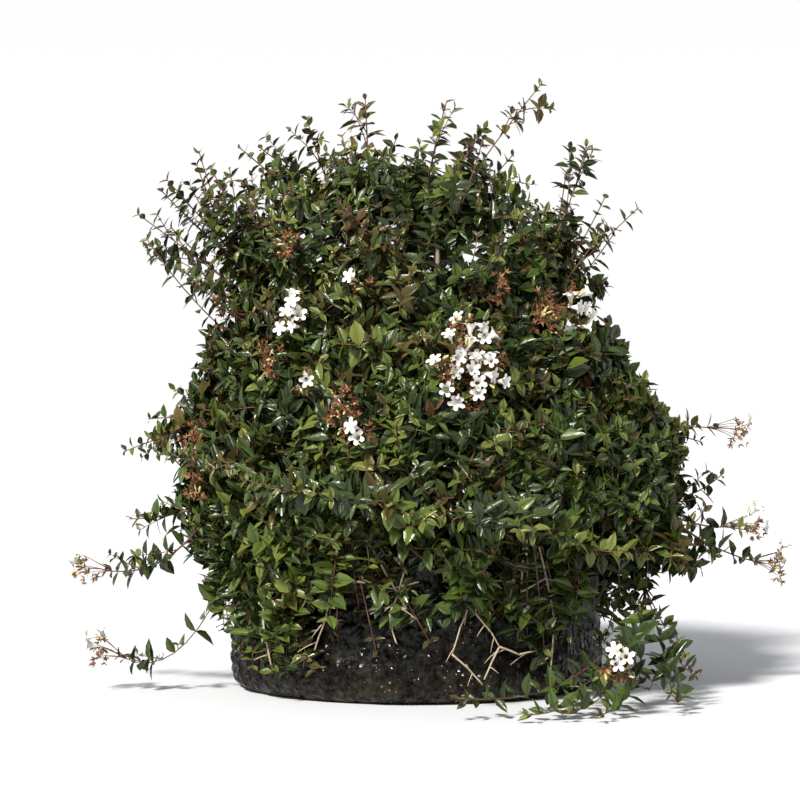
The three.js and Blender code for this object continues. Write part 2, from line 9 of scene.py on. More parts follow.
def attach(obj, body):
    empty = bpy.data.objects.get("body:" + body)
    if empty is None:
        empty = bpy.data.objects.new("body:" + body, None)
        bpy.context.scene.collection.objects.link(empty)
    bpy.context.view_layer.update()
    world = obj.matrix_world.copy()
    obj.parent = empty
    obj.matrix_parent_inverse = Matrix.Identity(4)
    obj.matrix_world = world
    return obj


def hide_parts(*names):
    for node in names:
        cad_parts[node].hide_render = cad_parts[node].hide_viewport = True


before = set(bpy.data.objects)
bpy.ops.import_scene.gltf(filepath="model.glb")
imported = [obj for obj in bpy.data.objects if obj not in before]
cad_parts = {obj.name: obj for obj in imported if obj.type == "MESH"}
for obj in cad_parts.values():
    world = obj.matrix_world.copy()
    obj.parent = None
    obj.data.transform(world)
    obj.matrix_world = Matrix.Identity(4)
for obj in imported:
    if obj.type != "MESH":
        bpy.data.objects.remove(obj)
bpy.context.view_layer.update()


# The camera stands level, three metres in front of the plant and a little to the left of its middle,
# with a long lens, so that the foot of the bag is seen from slightly above.
camera_data = bpy.data.cameras.new("camera")
camera_data.lens = 107.7
camera_data.sensor_width = 36.0
camera_data.clip_end = 200.0
camera = bpy.data.objects.new("camera", camera_data)
camera.location = (-0.0194, -3.0, 0.3525)
camera.rotation_euler = (math.radians(90), 0, 0)
bpy.context.scene.collection.objects.link(camera)
bpy.context.scene.camera = camera


# The grow bag is soft black polythene film, with a folded hem at its mouth and a round sealed foot. The
# compost presses lumps into it from within, and its own slack lies in creases round the wall. Outlines
# are (radius, height) pairs in millimetres.
MM = 0.001
BAG_OUTSIDE = [(0, 0), (206, 0), (218, 2), (226, 8), (231, 20), (231, 34), (227, 130), (224, 224),
               (227, 227), (227, 250)]
BAG_INSIDE = [(221.4, 250), (224.4, 130), (228.4, 34), (210, 5), (0, 5)]
BAG_STEPS = 264
WALL_STEP, LINING_STEP = 3.2, 24
WALL_FROM, WALL_RADIUS = 0.19, 0.227
SOLE_RISE, SOLE_OVER = 0.001, 0.014
HEM_FROM, HEM_OVER, HEM_STIFFNESS = 0.215, 0.012, 0.6
SLACK_SCALE, SLACK_SIZE = 9, 5.5
LUMP_SCALE, LUMP_SIZE = 34, 3.4
PEBBLE_SCALE, PEBBLE_EDGE, PEBBLE_SIZE = 78, 0.6, 6.2
CREASE_ROUND, CREASE_UP, CREASE_SHARPNESS, CREASE_SIZE = 16, 9, 9, 4.2
FOOT_SCALE, FOOT_HEIGHT, FOOT_SIZE = 26, 0.07, 5
CLEAN_FILM, DUSTY_FILM = (0.0025, 0.0022, 0.0012), (0.026, 0.024, 0.014)
# The second colour is painted glints: pale spots of painted light, standing in for the shine of wet drops on
# the film.
SOIL_SPLASH, PAINTED_GLINT_COLOUR = (0.032, 0.023, 0.014), (0.3, 0.29, 0.27)


def put(material, value, socket):
    if isinstance(value, bpy.types.NodeSocket):
        material.node_tree.links.new(value, socket)
    else:
        socket.default_value = value


def add_node(material, kind, settings=None, **inputs):
    made = material.node_tree.nodes.new(kind)
    for key, value in (settings or {}).items():
        setattr(made, key, value)
    for key, value in inputs.items():
        put(material, value, made.inputs[key.replace("_", " ")])
    return made


def place_on(material):
    return add_node(material, "ShaderNodeTexCoord").outputs["Object"]


def noise_on(material, place, scale, detail, settings=None, **more):
    made = add_node(material, "ShaderNodeTexNoise", settings, Vector=place, Scale=scale, Detail=detail,
                    **more)
    return made.outputs["Fac"]


def cells_on(material, place, scale, settings=None, **more):
    made = add_node(material, "ShaderNodeTexVoronoi", settings, Vector=place, Scale=scale, **more)
    return made.outputs["Distance"]


def bumped(material, height, strength, distance, **more):
    made = add_node(material, "ShaderNodeBump", Strength=strength, Distance=distance, Height=height, **more)
    return made.outputs["Normal"]


def worked(material, operation, *values):
    made = add_node(material, "ShaderNodeMath", {"operation": operation})
    for value, socket in zip(values, made.inputs):
        put(material, value, socket)
    return made.outputs[0]


def blended(material, factor, first, second):
    made = add_node(material, "ShaderNodeMix", {"data_type": "RGBA"})
    for value, socket in zip((factor, first, second), (made.inputs[0], made.inputs[6], made.inputs[7])):
        put(material, (*value, 1) if isinstance(value, tuple) else value, socket)
    return made.outputs[2]


def ranged(material, value, low, high, to_low=0.0, to_high=1.0):
    made = add_node(material, "ShaderNodeMapRange", {"interpolation_type": "SMOOTHSTEP"}, Value=value,
                    From_Min=low, From_Max=high, To_Min=to_low, To_Max=to_high)
    return made.outputs["Result"]


def new_finish(name, colour, roughness):
    material = bpy.data.materials.new(name)
    material.use_nodes = True
    shader = material.node_tree.nodes["Principled BSDF"]
    shader.inputs["Base Color"].default_value = (*colour, 1)
    shader.inputs["Roughness"].default_value = roughness
    return material, shader


def new_mesh(name, shape, finishes, smooth=True):
    mesh = bpy.data.meshes.new(name)
    shape.to_mesh(mesh)
    shape.free()
    return new_piece(name, mesh, finishes, smooth)


def new_piece(name, mesh, finishes, smooth=True):
    if smooth:
        mesh.shade_smooth()
    for finish in finishes:
        mesh.materials.append(finish)
    piece = bpy.data.objects.new(name, mesh)
    bpy.context.scene.collection.objects.link(piece)
    return piece


def stepped(profile, longest):
    points = [profile[0]]
    for low, high in zip(profile, profile[1:]):
        pieces = math.ceil(math.dist(low, high) / longest)
        for i in range(1, pieces + 1):
            points.append(tuple(a + (b - a) * i / pieces for a, b in zip(low, high)))
    return points


def turned(profile, steps):
    shape = bmesh.new()
    corners = [shape.verts.new((radius * MM, 0, height * MM)) for radius, height in profile]
    for low, high in zip(corners, corners[1:]):
        shape.edges.new((low, high))
    bmesh.ops.spin(shape, geom=shape.verts[:] + shape.edges[:], cent=(0, 0, 0), axis=(0, 0, 1),
                   angle=math.tau, steps=steps, use_merge=True)
    bmesh.ops.remove_doubles(shape, verts=shape.verts[:], dist=0.00002)
    bmesh.ops.recalc_face_normals(shape, faces=shape.faces[:])
    return shape


# How far the film stands out of the turned wall. A number added to a place only picks another part of
# the noise, so that the creases don't follow the slack.
def bag_swell(place):
    slack = noise.noise(place * SLACK_SCALE + Vector((3, 1, 7))) * SLACK_SIZE
    lumps = noise.noise(place * LUMP_SCALE) * LUMP_SIZE
    pebbles = max(0.0, PEBBLE_EDGE - noise.voronoi(place * PEBBLE_SCALE)[0][0]) * PEBBLE_SIZE
    drawn = Vector((place.x * CREASE_ROUND + 9, place.y * CREASE_ROUND + 2, place.z * CREASE_UP + 4))
    creases = (1 - abs(noise.noise(drawn))) ** CREASE_SHARPNESS
    gathers = noise.noise(Vector((place.x * FOOT_SCALE, place.y * FOOT_SCALE, 0.4)))
    foot = max(0.0, 1 - place.z / FOOT_HEIGHT) * gathers * FOOT_SIZE
    return slack + lumps + pebbles - CREASE_SIZE * creases + foot


bag_wall = stepped(BAG_OUTSIDE[1:], WALL_STEP) + stepped(BAG_INSIDE[:-1], LINING_STEP)
bag = turned(BAG_OUTSIDE[:1] + bag_wall + BAG_INSIDE[-1:], BAG_STEPS)
for point in bag.verts:
    across = Vector((point.co.x, point.co.y, 0))
    if across.length < WALL_FROM:
        continue
    outside = across.normalized() * WALL_RADIUS
    outside.z = point.co.z
    rise = min(1.0, max(0.0, point.co.z - SOLE_RISE) / SOLE_OVER)
    hem = 1 - HEM_STIFFNESS * min(1.0, max(0.0, point.co.z - HEM_FROM) / HEM_OVER)
    point.co += across.normalized() * (bag_swell(outside) * rise * hem * MM)

polythene, shader = new_finish("black_polythene", (0.012, 0.012, 0.013), 0.4)
shader.inputs["IOR"].default_value = 1.3
place = place_on(polythene)
height = add_node(polythene, "ShaderNodeSeparateXYZ", Vector=place).outputs["Z"]
scuffs = noise_on(polythene, place, 55, 8, Roughness=0.65)
grime = noise_on(polythene, place, 24, 6, Roughness=0.7)
glint_cells = cells_on(polythene, place, 150)
film = blended(polythene, ranged(polythene, grime, 0.5, 0.78), CLEAN_FILM, DUSTY_FILM)
near_ground = ranged(polythene, height, 0.002, 0.034, 1.0, 0.0)
splash = worked(polythene, "MULTIPLY", near_ground, ranged(polythene, scuffs, 0.38, 0.62))
film = blended(polythene, splash, film, SOIL_SPLASH)
# Painted glints: sparse pale spots are laid into the film's colour as painted light, where wet drops would
# shine.
glint_spots = ranged(polythene, glint_cells, 0.08, 0.14, 1.0, 0.0)
painted_glints = worked(polythene, "MULTIPLY", glint_spots, ranged(polythene, grime, 0.52, 0.58))
film = blended(polythene, painted_glints, film, PAINTED_GLINT_COLOUR)
put(polythene, film, shader.inputs["Base Color"])
damp = ranged(polythene, noise_on(polythene, place, 150, 5, Roughness=0.7), 0.36, 0.7, 0.08, 0.95)
facing = add_node(polythene, "ShaderNodeLayerWeight", Blend=0.5).outputs["Facing"]
gloss = worked(polythene, "MULTIPLY", damp, ranged(polythene, facing, 0.3, 0.8, 1.0, 0.05))
put(polythene, gloss, shader.inputs["Specular IOR Level"])
put(polythene, ranged(polythene, scuffs, 0.3, 0.7, 0.12, 0.34), shader.inputs["Roughness"])
wrinkles = noise_on(polythene, place, 38, 4, {"noise_type": "RIDGED_MULTIFRACTAL"})
pebbles = cells_on(polythene, place, 84, {"feature": "SMOOTH_F1"}, Smoothness=0.2, Randomness=0.9)
grain = noise_on(polythene, place, 230, 4)
relief = bumped(polythene, wrinkles, 0.8, 0.0024)
relief = bumped(polythene, ranged(polythene, pebbles, 0.12, 0.5, 1.0, 0.0), 0.9, 0.0022, Normal=relief)
relief = bumped(polythene, grain, 0.5, 0.0007, Normal=relief)
put(polythene, relief, shader.inputs["Normal"])

pot = new_mesh("grow_bag", bag, [polythene])
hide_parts("pot")
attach(pot, "root")


# The compost is moist composted bark and peat, filled to a finger's width or more under the rim. Its
# top is crumbly and a little higher round the stem, and only the hem stands above it.
COMPOST_SIDE = [(0, 5.3), (208, 5.3), (222, 30), (219, 130)]
COMPOST_TOP = [(217, 219), (150, 223), (70, 226), (0, 226)]
COMPOST_STEPS, CRUST_STEP, CRUST_FROM = 160, 7, 0.21
CRUMB_SCALE, CRUMB_EDGE, CRUMB_SIZE, CRUMBS_SUNK = 75, 0.6, 7, 2.2
HOLLOW_SCALE, HOLLOW_SIZE = 20, 2
DARK_PEAT, PALE_BARK = (0.022, 0.013, 0.008), (0.12, 0.075, 0.045)

compost = turned(COMPOST_SIDE + stepped(COMPOST_TOP, CRUST_STEP), COMPOST_STEPS)
for point in compost.verts:
    if point.co.z > CRUST_FROM:
        crumbs = max(0.0, CRUMB_EDGE - noise.voronoi(point.co * CRUMB_SCALE)[0][0]) * CRUMB_SIZE
        hollow = HOLLOW_SIZE * noise.noise(point.co * HOLLOW_SCALE)
        point.co.z += (crumbs - CRUMBS_SUNK + hollow) * MM

crumb, shader = new_finish("bark_compost", (0.05, 0.03, 0.018), 0.92)
place = place_on(crumb)
fibre = noise_on(crumb, place, 90, 7)
shade = blended(crumb, ranged(crumb, fibre, 0.35, 0.7), DARK_PEAT, PALE_BARK)
put(crumb, shade, shader.inputs["Base Color"])
put(crumb, bumped(crumb, cells_on(crumb, place, 170), 0.9, 0.002), shader.inputs["Normal"])

filling = new_mesh("bark_compost", compost, [crumb])
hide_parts("compost")
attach(filling, "root")


# The stem is a short woody stool, cut back often, from which every bough leaves. Its bark is brown and
# shreds in long strips, and it swells into five roots at the compost's level.
SOIL_LEVEL = 226.3
STEM_HEIGHT = 66
STEM_OUTLINE = [(0, 0), (50, 0), (38, 7), (31.9, 20), (29, 36.3), (24.9, 54.1), (13, 64), (0, 66)]
STEM_STEP, STEM_SIDES, STEM_LEAN = 2.5, 60, 4
ROOTS, ROOT_SWELL, ROOT_HEIGHT = 5, 0.16, 0.024
STRIPS_ROUND, STRIPS_UP, STRIP_SIZE = 3, 18, 0.09
DARK_BARK, PALE_STRIPS = (0.06, 0.035, 0.022), (0.27, 0.19, 0.125)

stool = turned(stepped(STEM_OUTLINE, STEM_STEP), STEM_SIDES)
for point in stool.verts:
    turn = math.atan2(point.co.y, point.co.x)
    low = max(0.0, 1 - point.co.z / ROOT_HEIGHT)
    swell = 1 + ROOT_SWELL * low * math.cos(ROOTS * turn)
    around = Vector((math.cos(turn) * STRIPS_ROUND, math.sin(turn) * STRIPS_ROUND, point.co.z * STRIPS_UP))
    side = swell + noise.noise(around) * STRIP_SIZE
    lean = STEM_LEAN * point.co.z / STEM_HEIGHT
    point.co = Vector((point.co.x * side - lean, point.co.y * side, point.co.z + SOIL_LEVEL * MM))

bark, shader = new_finish("shredding_bark", (0.16, 0.1, 0.06), 0.85)
drawn = add_node(bark, "ShaderNodeMapping", Vector=place_on(bark), Scale=(1, 1, 0.22))
strips = noise_on(bark, drawn.outputs[0], 240, 6)
shade = blended(bark, ranged(bark, strips, 0.35, 0.68), DARK_BARK, PALE_STRIPS)
put(bark, shade, shader.inputs["Base Color"])
put(bark, bumped(bark, strips, 0.8, 0.0012), shader.inputs["Normal"])

stem = new_mesh("bark_stem", stool, [bark])
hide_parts("stem")
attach(stem, "root")


# The boughs are the old limbs that leave the stem, one for each mass of foliage, and end where the mass
# begins: eight to the skirt, eight to the middle, six to the upper crown and four to the top.

# A tier's "bough" gives the (radius, height) where its boughs start, bend and end, "seat" the place that
# a mass is nearest to, "face" the height at which its stem would come out of the crown, "stem_depth" how
# far within the face it ends, and "reach" how far its twigs spread across and up. "points" counts its
# main twigs, "tips" and "inner" its finer ones, "depth" is how far from the face those end, "span" their
# length, "hang" how much all of them lift on their way, and "leaf" the length of their leaves.
TIERS = [
    {"name": "skirt", "count": 8, "first": 22.5, "seat": (268, 212), "face": 176, "stem_depth": -14,
     "reach": (118, 98),
     "bough": ((16, 238), (150, 292), (250, 268)), "radii": (5.6, 3.4), "points": 6, "hang": 0.12,
     "tips": 330, "inner": 40, "depth": (-40, 6), "span": (40, 100), "leaf": 29},
    {"name": "middle", "count": 8, "first": 0, "seat": (240, 350), "face": 346, "stem_depth": -14,
     "reach": (112, 72),
     "bough": ((16, 244), (80, 290), (156, 326)), "radii": (6.2, 3.6), "points": 6, "hang": 0.04,
     "tips": 250, "inner": 60, "depth": (-40, 10), "span": (40, 100), "leaf": 29},
    {"name": "upper", "count": 6, "first": 30, "seat": (190, 490), "face": 484, "stem_depth": -14,
     "reach": (120, 78),
     "bough": ((16, 255), (52, 330), (108, 430)), "radii": (7, 3.8), "points": 8, "hang": -0.04,
     "tips": 200, "inner": 36, "depth": (-52, 20), "span": (45, 125), "leaf": 23},
    {"name": "top", "count": 4, "first": 45, "seat": (105, 620), "face": 660, "stem_depth": -90,
     "reach": (112, 124),
     "bough": ((13, 276), (22, 400), (58, 520)), "radii": (7.2, 3.8), "points": 5, "hang": -0.08,
     "tips": 190, "inner": 0, "depth": (-80, 6), "span": (50, 135), "leaf": 22},
]
# The crown's middle lies 20 mm to the right up to a height of 300 mm, and 28 mm to the left from 540 mm.
CROWN_LEAN = (20, 300, -28, 540)
BOUGH_SWAY = 9
BOUGH_SIDES, BOUGH_STEPS = 12, 26
RIDGES_ROUND, RIDGES_UP, RIDGE_SIZE = 300, 70, 0.9


# Evenly spread numbers from 0 to 1, the same ones for the same seed.
def draws(seed):
    state = [seed & 0xFFFFFFFF]

    def draw():
        state[0] = (state[0] + 0x6D2B79F5) & 0xFFFFFFFF
        mixed = ((state[0] ^ (state[0] >> 15)) * (state[0] | 1)) & 0xFFFFFFFF
        mixed ^= (mixed + ((mixed ^ (mixed >> 7)) * (mixed | 61))) & 0xFFFFFFFF
        return ((mixed ^ (mixed >> 14)) & 0xFFFFFFFF) / 4294967296

    return draw


def lerp(low, high, share):
    return low + (high - low) * share


def lean_at(height):
    low_x, low_z, high_x, high_z = CROWN_LEAN
    return lerp(low_x, high_x, min(1, max(0, (height - low_z) / (high_z - low_z))))


def ring_point(azimuth, radius, height):
    lean = lean_at(height) * min(1, radius / 100)
    return Vector((lean + radius * math.cos(azimuth), radius * math.sin(azimuth), height))


def bend_at(curve, t):
    return curve[0] * (1 - t) ** 2 + curve[1] * (2 * t * (1 - t)) + curve[2] * t ** 2


def heading_at(curve, t):
    return ((curve[1] - curve[0]) * (1 - t) + (curve[2] - curve[1]) * t).normalized()


def length_of(curve):
    chord = (curve[2] - curve[0]).length
    return (2 * chord + (curve[1] - curve[0]).length + (curve[2] - curve[1]).length) / 3


masses = []
for row, tier in enumerate(TIERS):
    for index in range(tier["count"]):
        azimuth = math.radians(tier["first"] + index * 360 / tier["count"])
        seed = 64 * (100 * (row + 1) + index)
        draw = draws(seed)
        start, bend, end = (ring_point(azimuth, *place) for place in tier["bough"])
        sway = [(draw() - 0.5) * 2 * BOUGH_SWAY for _ in range(3)]
        curve = (start, bend + Vector((sway[0], sway[1], sway[2] / 2)), end)
        masses.append({
            "name": f"{tier['name']}_{index + 1}", "tier": tier, "azimuth": azimuth, "seed": seed,
            "bough": curve, "seat": ring_point(azimuth, *tier["seat"]), "limbs": [], "leaves": [],
        })


def wooden_limb(shape, curve, radii, sides, steps):
    before = None
    top = None
    for step in range(steps + 1):
        t = step / steps
        turn = heading_at(curve, t).to_track_quat("Z", "Y").to_matrix().to_4x4()
        here = Matrix.Translation(bend_at(curve, t) * MM) @ turn @ Matrix.Scale(lerp(*radii, t) * MM, 4)
        if top is None:
            made = bmesh.ops.create_circle(shape, segments=sides, radius=1, cap_ends=True, matrix=here)
            top = made["verts"][0].link_faces[0]
        else:
            made = bmesh.ops.extrude_face_region(shape, geom=[top])
            top = next(part for part in made["geom"] if isinstance(part, bmesh.types.BMFace))
            bmesh.ops.transform(shape, matrix=here @ before.inverted(), verts=top.verts[:])
        before = here


limbs = bmesh.new()
for mass in masses:
    wooden_limb(limbs, mass["bough"], mass["tier"]["radii"], BOUGH_SIDES, BOUGH_STEPS)
bmesh.ops.recalc_face_normals(limbs, faces=limbs.faces[:])
limbs.normal_update()
for point in limbs.verts:
    drawn = Vector((point.co.x * RIDGES_ROUND, point.co.y * RIDGES_ROUND, point.co.z * RIDGES_UP))
    point.co += point.normal * (noise.noise(drawn) * RIDGE_SIZE * MM)

boughs = new_mesh("boughs", limbs, [bark])
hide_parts(*[f"bough_{mass['name']}" for mass in masses])
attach(boughs, "root")


# The twigs are the younger wood: each mass has a stem that grows on from its bough, main twigs from that
# and finer twigs from those, all out to the crown's face. They are red-brown, and the long ones arch.
# The face is the outline turned round, with lobes as (waves round it, size, phase).
CROWN_OUTLINE = [(250, 62), (268, 104), (298, 165), (308, 235), (303, 300), (280, 354), (258, 404),
                 (230, 454), (214, 504), (222, 560), (214, 612), (185, 650), (110, 668), (0, 674)]
CROWN_LOBES = [(3, 0.025, 0.6), (5, 0.02, 2.1), (8, 0.015, 4.4)]
DEEPEN_FROM, LOWER_FROM, NARROWEST = 120, 240, 150
BAG_TOP, BAG_REACH, OFF_THE_BAG, OFF_THE_GROUND = 250, 231, 20, 3
HEM = {"height": 88, "from": 165, "wave": 30, "waves": 4}
GOLDEN_ANGLE = math.pi * (3 - math.sqrt(5))
UP = Vector((0, 0, 1))
outline_steps = [math.dist(low, high) for low, high in zip(CROWN_OUTLINE, CROWN_OUTLINE[1:])]
OUTLINE_LENGTH = sum(outline_steps)
BEND_SHARE = 0.45
MASS_STEM = {"radii": (3.2, 1.3), "sides": 6, "steps": 12, "sunk": 1.5, "lead": 0.3}
STEM_TWIG_AT = (0.35, 0.6)
MAIN_TWIG = {"radii": (1.9, 0.8), "sides": 5, "steps": 9, "depth": (-30, -6)}
FINE_TWIG = {"sides": 3, "steps": 4, "root": 1.5, "tip": 0.55, "aside": 0.7}
JOINTS_AT = np.linspace(0.16, 0.97, 14)
LONGEST_SPAN, TURN_COST, LENGTH_COST = 1.6, 1.9, 2


def along_outline(distance):
    left = min(max(distance, 0), OUTLINE_LENGTH - 1e-6)
    i = 0
    while left > outline_steps[i]:
        left -= outline_steps[i]
        i += 1
    share = left / outline_steps[i]
    return [lerp(CROWN_OUTLINE[i][k], CROWN_OUTLINE[i + 1][k], share) for k in (0, 1)]


def distance_at(height):
    distance = 0
    for i, step in enumerate(outline_steps):
        below, above = CROWN_OUTLINE[i][1], CROWN_OUTLINE[i + 1][1]
        if height <= above:
            return distance + step * (height - below) / (above - below)
        distance += step
    return distance


# The skirt's hem is lifted in front, behind and at both sides, and hangs lower between them.
def hung_at(azimuth, height):
    if height >= HEM["from"]:
        return height
    hem = HEM["height"] + HEM["wave"] * math.cos(HEM["waves"] * (azimuth + math.pi / 2))
    return lerp(hem, HEM["from"], (height - HEM["height"]) / (HEM["from"] - HEM["height"]))


# A point of the crown's face, at a distance along its outline, pushed out by depth. It keeps off the bag.
def crown_point(azimuth, distance, depth=0):
    radius, height = along_outline(distance)
    swell = 1 + sum(size * math.cos(waves * azimuth + phase) for waves, size, phase in CROWN_LOBES)
    reach = radius * swell + depth * min(1, radius / DEEPEN_FROM)
    rise = depth * (1 - min(1, radius / LOWER_FROM))
    point = Vector((lean_at(height) + reach * math.cos(azimuth), reach * math.sin(azimuth), 0))
    if height < BAG_TOP + OFF_THE_BAG and point.length < BAG_REACH + OFF_THE_BAG:
        point *= (BAG_REACH + OFF_THE_BAG) / point.length
    point.z = hung_at(azimuth, height) + rise
    return point


# A limb that starts along a heading, already turned towards its own end, and is lifted or hangs on the way.
def arching(start, heading, end, lift):
    span = (end - start).length
    lead = ((end - start) * (2 / span) + heading).normalized()
    return (start, start + lead * (BEND_SHARE * span) + UP * (lift * span), end)


# A mass's own space is the part of the crown nearer its seat than any other's. This is how far inside it
# a point lies.
def room_at(mass, point):
    room = math.inf
    for other in masses:
        if other is not mass:
            apart = other["seat"] - mass["seat"]
            room = min(room, ((other["seat"] + mass["seat"]) / 2 - point).dot(apart) / apart.length)
    return room


def nearest(point, count):
    return sorted(masses, key=lambda each: (each["seat"] - point).length)[:count]


# The level way out of the crown's middle at a point's height.
def outward_at(point):
    return Vector((point.x - lean_at(point.z), point.y, 0))


def off_the_bag(point, spare=4):
    if point.z < OFF_THE_GROUND:
        return False
    return point.z > BAG_TOP + spare or math.hypot(point.x, point.y) > BAG_REACH + spare


def add_limb(mass, curve, radii, sides, steps, old=False):
    limb = {"curve": curve, "radii": radii, "sides": sides, "steps": steps, "old": old,
            "length": length_of(curve)}
    mass["limbs"].append(limb)
    return limb


def main_twig(mass, tip, at, lift, radii):
    stem_curve = mass["limbs"][0]["curve"]
    curve = arching(bend_at(stem_curve, at), heading_at(stem_curve, at), tip, lift)
    return add_limb(mass, curve, radii, MAIN_TWIG["sides"], MAIN_TWIG["steps"])


# A random push of up to one half each way, or less far down and further up.
def any_way(draw, down=0.5):
    return Vector((draw() - 0.5, draw() - 0.5, draw() - down))


# A finer twig leaves the limb of its mass that leads best towards its tip, within the span of its tier.
def fine_twig(mass, tip, draw, spans, lift, radius=1.0):
    shortest, longest = spans
    least, chosen = math.inf, None
    for at, heading, size in mass["joints"]:
        apart = tip - at
        span = apart.length
        if span < shortest or span > longest * LONGEST_SPAN:
            continue
        cost = span * (TURN_COST - heading.dot(apart) / span) + max(0, span - longest) * LENGTH_COST
        if cost < least:
            least, chosen = cost, (at, heading, size)
    if chosen is None:
        return None
    at, heading, size = chosen
    side = any_way(draw) * FINE_TWIG["aside"]
    curve = arching(at, (heading + side).normalized(), tip, lift)
    if not all(off_the_bag(bend_at(curve, t)) for t in (0.4, 0.7, 1)):
        return None
    radii = (min(size, radius * FINE_TWIG["root"]), radius * FINE_TWIG["tip"])
    return add_limb(mass, curve, radii, FINE_TWIG["sides"], FINE_TWIG["steps"])


# The places along a mass's limbs that a finer twig can leave: each one's place, heading and thickness.
def joints_of(limbs):
    return [
        (bend_at(limb["curve"], t), heading_at(limb["curve"], t), lerp(*limb["radii"], t))
        for limb in limbs
        for t in JOINTS_AT
    ]


for mass in masses:
    tier, azimuth = mass["tier"], mass["azimuth"]
    face = distance_at(tier["face"])
    heading = heading_at(mass["bough"], 1)
    root = mass["bough"][2] - heading * MASS_STEM["sunk"]
    tip = crown_point(azimuth, face, tier["stem_depth"])
    stem_curve = (root, root + heading * (MASS_STEM["lead"] * (tip - root).length), tip)
    mass["face"] = face
    add_limb(mass, stem_curve, MASS_STEM["radii"], MASS_STEM["sides"], MASS_STEM["steps"], old=True)
    for i in range(1, tier["points"] + 1):
        draw = draws(mass["seed"] + 1 + i)
        spread = math.sqrt(i / tier["points"])
        turn = i * GOLDEN_ANGLE + azimuth
        outer = max(along_outline(face)[0], NARROWEST)
        across = azimuth + spread * math.cos(turn) * tier["reach"][0] / outer
        up = face + spread * math.sin(turn) * tier["reach"][1]
        end = crown_point(across, up, lerp(*MAIN_TWIG["depth"], draw()))
        at = lerp(STEM_TWIG_AT[1], STEM_TWIG_AT[0], spread)
        main_twig(mass, end, at, tier["hang"], MAIN_TWIG["radii"])
    mass["joints"] = joints_of(mass["limbs"])
    mass["sprays"] = []


# The finer twigs' tips are laid out as a sunflower too, wider than the main twigs' and kept to the mass's
# own space, with a few more within. The crown draws in towards its top and opens out there.
TOP_DRAWN_IN = {"by": 36, "from": 545, "over": 90}
TOP_THINNED = {"by": 0.7, "from": 575, "over": 75}
# Below the hem line the crown hangs in strands, most bare at the right in front. The line is higher where
# the skirt is lifted and at its bare place, and "loss" is the share that is missing under it.
HEM_LINE = {"height": 194, "lifted": 26, "bare": 66, "over": 60}
HEM_LOSS = {"usual": 0.84, "lifted": 0.08, "bare": 0.3, "strand": 1.4, "most": 0.97}
BARE_AZIMUTH, BARE_SHARPNESS, STRAND_SCALE = -0.7, 8, 8
# Under the top are gaps where bare stems and sky show, in front and behind alike, so that the view from
# in front passes through both.
GAPS = {"height": 540, "over": 62, "aside": 0.22, "width": 0.55, "least": 0.1, "clear": 1.1, "most": 0.95}
PATCH_SCALE, PATCH_HEIGHT = 4, 60
INNER_DEPTH = (-135, -50)
FACE_SPREAD, INNER_SPREAD = 1.7, 1.3
ACROSS_LOOSE, OUTSIDE_SPARE, SEAT_SLACK, FINE_HANG = 0.06, 1.3, -8, 0.6
SPRAY_SEED = 5000


def ramp(value, bounds):
    return min(1, max(0, (value - bounds["from"]) / bounds["over"]))


def kept_at(azimuth, height):
    lifted = math.cos(HEM["waves"] * (azimuth + math.pi / 2))
    bare = max(0, math.cos(azimuth - BARE_AZIMUTH)) ** BARE_SHARPNESS
    line = HEM_LINE["height"] + HEM_LINE["lifted"] * lifted + HEM_LINE["bare"] * bare
    hem = min(1, max(0, (line - height) / HEM_LINE["over"]))
    east, north = math.cos(azimuth), math.sin(azimuth)
    strand = noise.noise(Vector((east * STRAND_SCALE, north * STRAND_SCALE, 2)))
    loss = HEM_LOSS["usual"] + HEM_LOSS["lifted"] * lifted + HEM_LOSS["bare"] * bare
    hung = 1 - hem * min(HEM_LOSS["most"], max(0, loss - HEM_LOSS["strand"] * strand))
    patch = noise.noise(Vector((east * PATCH_SCALE, north * PATCH_SCALE, height / PATCH_HEIGHT)))
    see_through = max(0, 1 - abs(east - GAPS["aside"]) / GAPS["width"])
    waist = max(0, 1 - abs(height - GAPS["height"]) / GAPS["over"])
    gaps = min(GAPS["most"], waist * max(0, GAPS["least"] + GAPS["clear"] * see_through + patch))
    return (1 - TOP_THINNED["by"] * ramp(height, TOP_THINNED)) * hung * (1 - gaps)


for mass in masses:
    tier = mass["tier"]
    outer = max(along_outline(mass["face"])[0], NARROWEST)
    draw = draws(mass["seed"] + SPRAY_SEED)
    for tips, depth, reach in (
        (tier["tips"], tier["depth"], FACE_SPREAD), (tier["inner"], INNER_DEPTH, INNER_SPREAD),
    ):
        for i in range(1, tips + 1):
            spread = reach * math.sqrt(i / tips)
            turn = i * GOLDEN_ANGLE + mass["azimuth"]
            across = mass["azimuth"] + (spread * math.cos(turn) * tier["reach"][0]) / outer
            up = mass["face"] + spread * math.sin(turn) * tier["reach"][1]
            chances = [draw() for _ in range(4)]
            if not 0 < up < OUTLINE_LENGTH or chances[0] > along_outline(up)[0] / outer * OUTSIDE_SPARE:
                continue
            height = along_outline(up)[1]
            inward = lerp(*depth, chances[2]) - TOP_DRAWN_IN["by"] * ramp(height, TOP_DRAWN_IN)
            tip = crown_point(across + (chances[1] - 0.5) * ACROSS_LOOSE, up, inward)
            if room_at(mass, tip) < SEAT_SLACK or not off_the_bag(tip) or chances[3] > kept_at(across, tip.z):
                continue
            twig = fine_twig(mass, tip, draw, tier["span"], tier["hang"] * FINE_HANG)
            if twig:
                mass["sprays"].append((twig, draw))


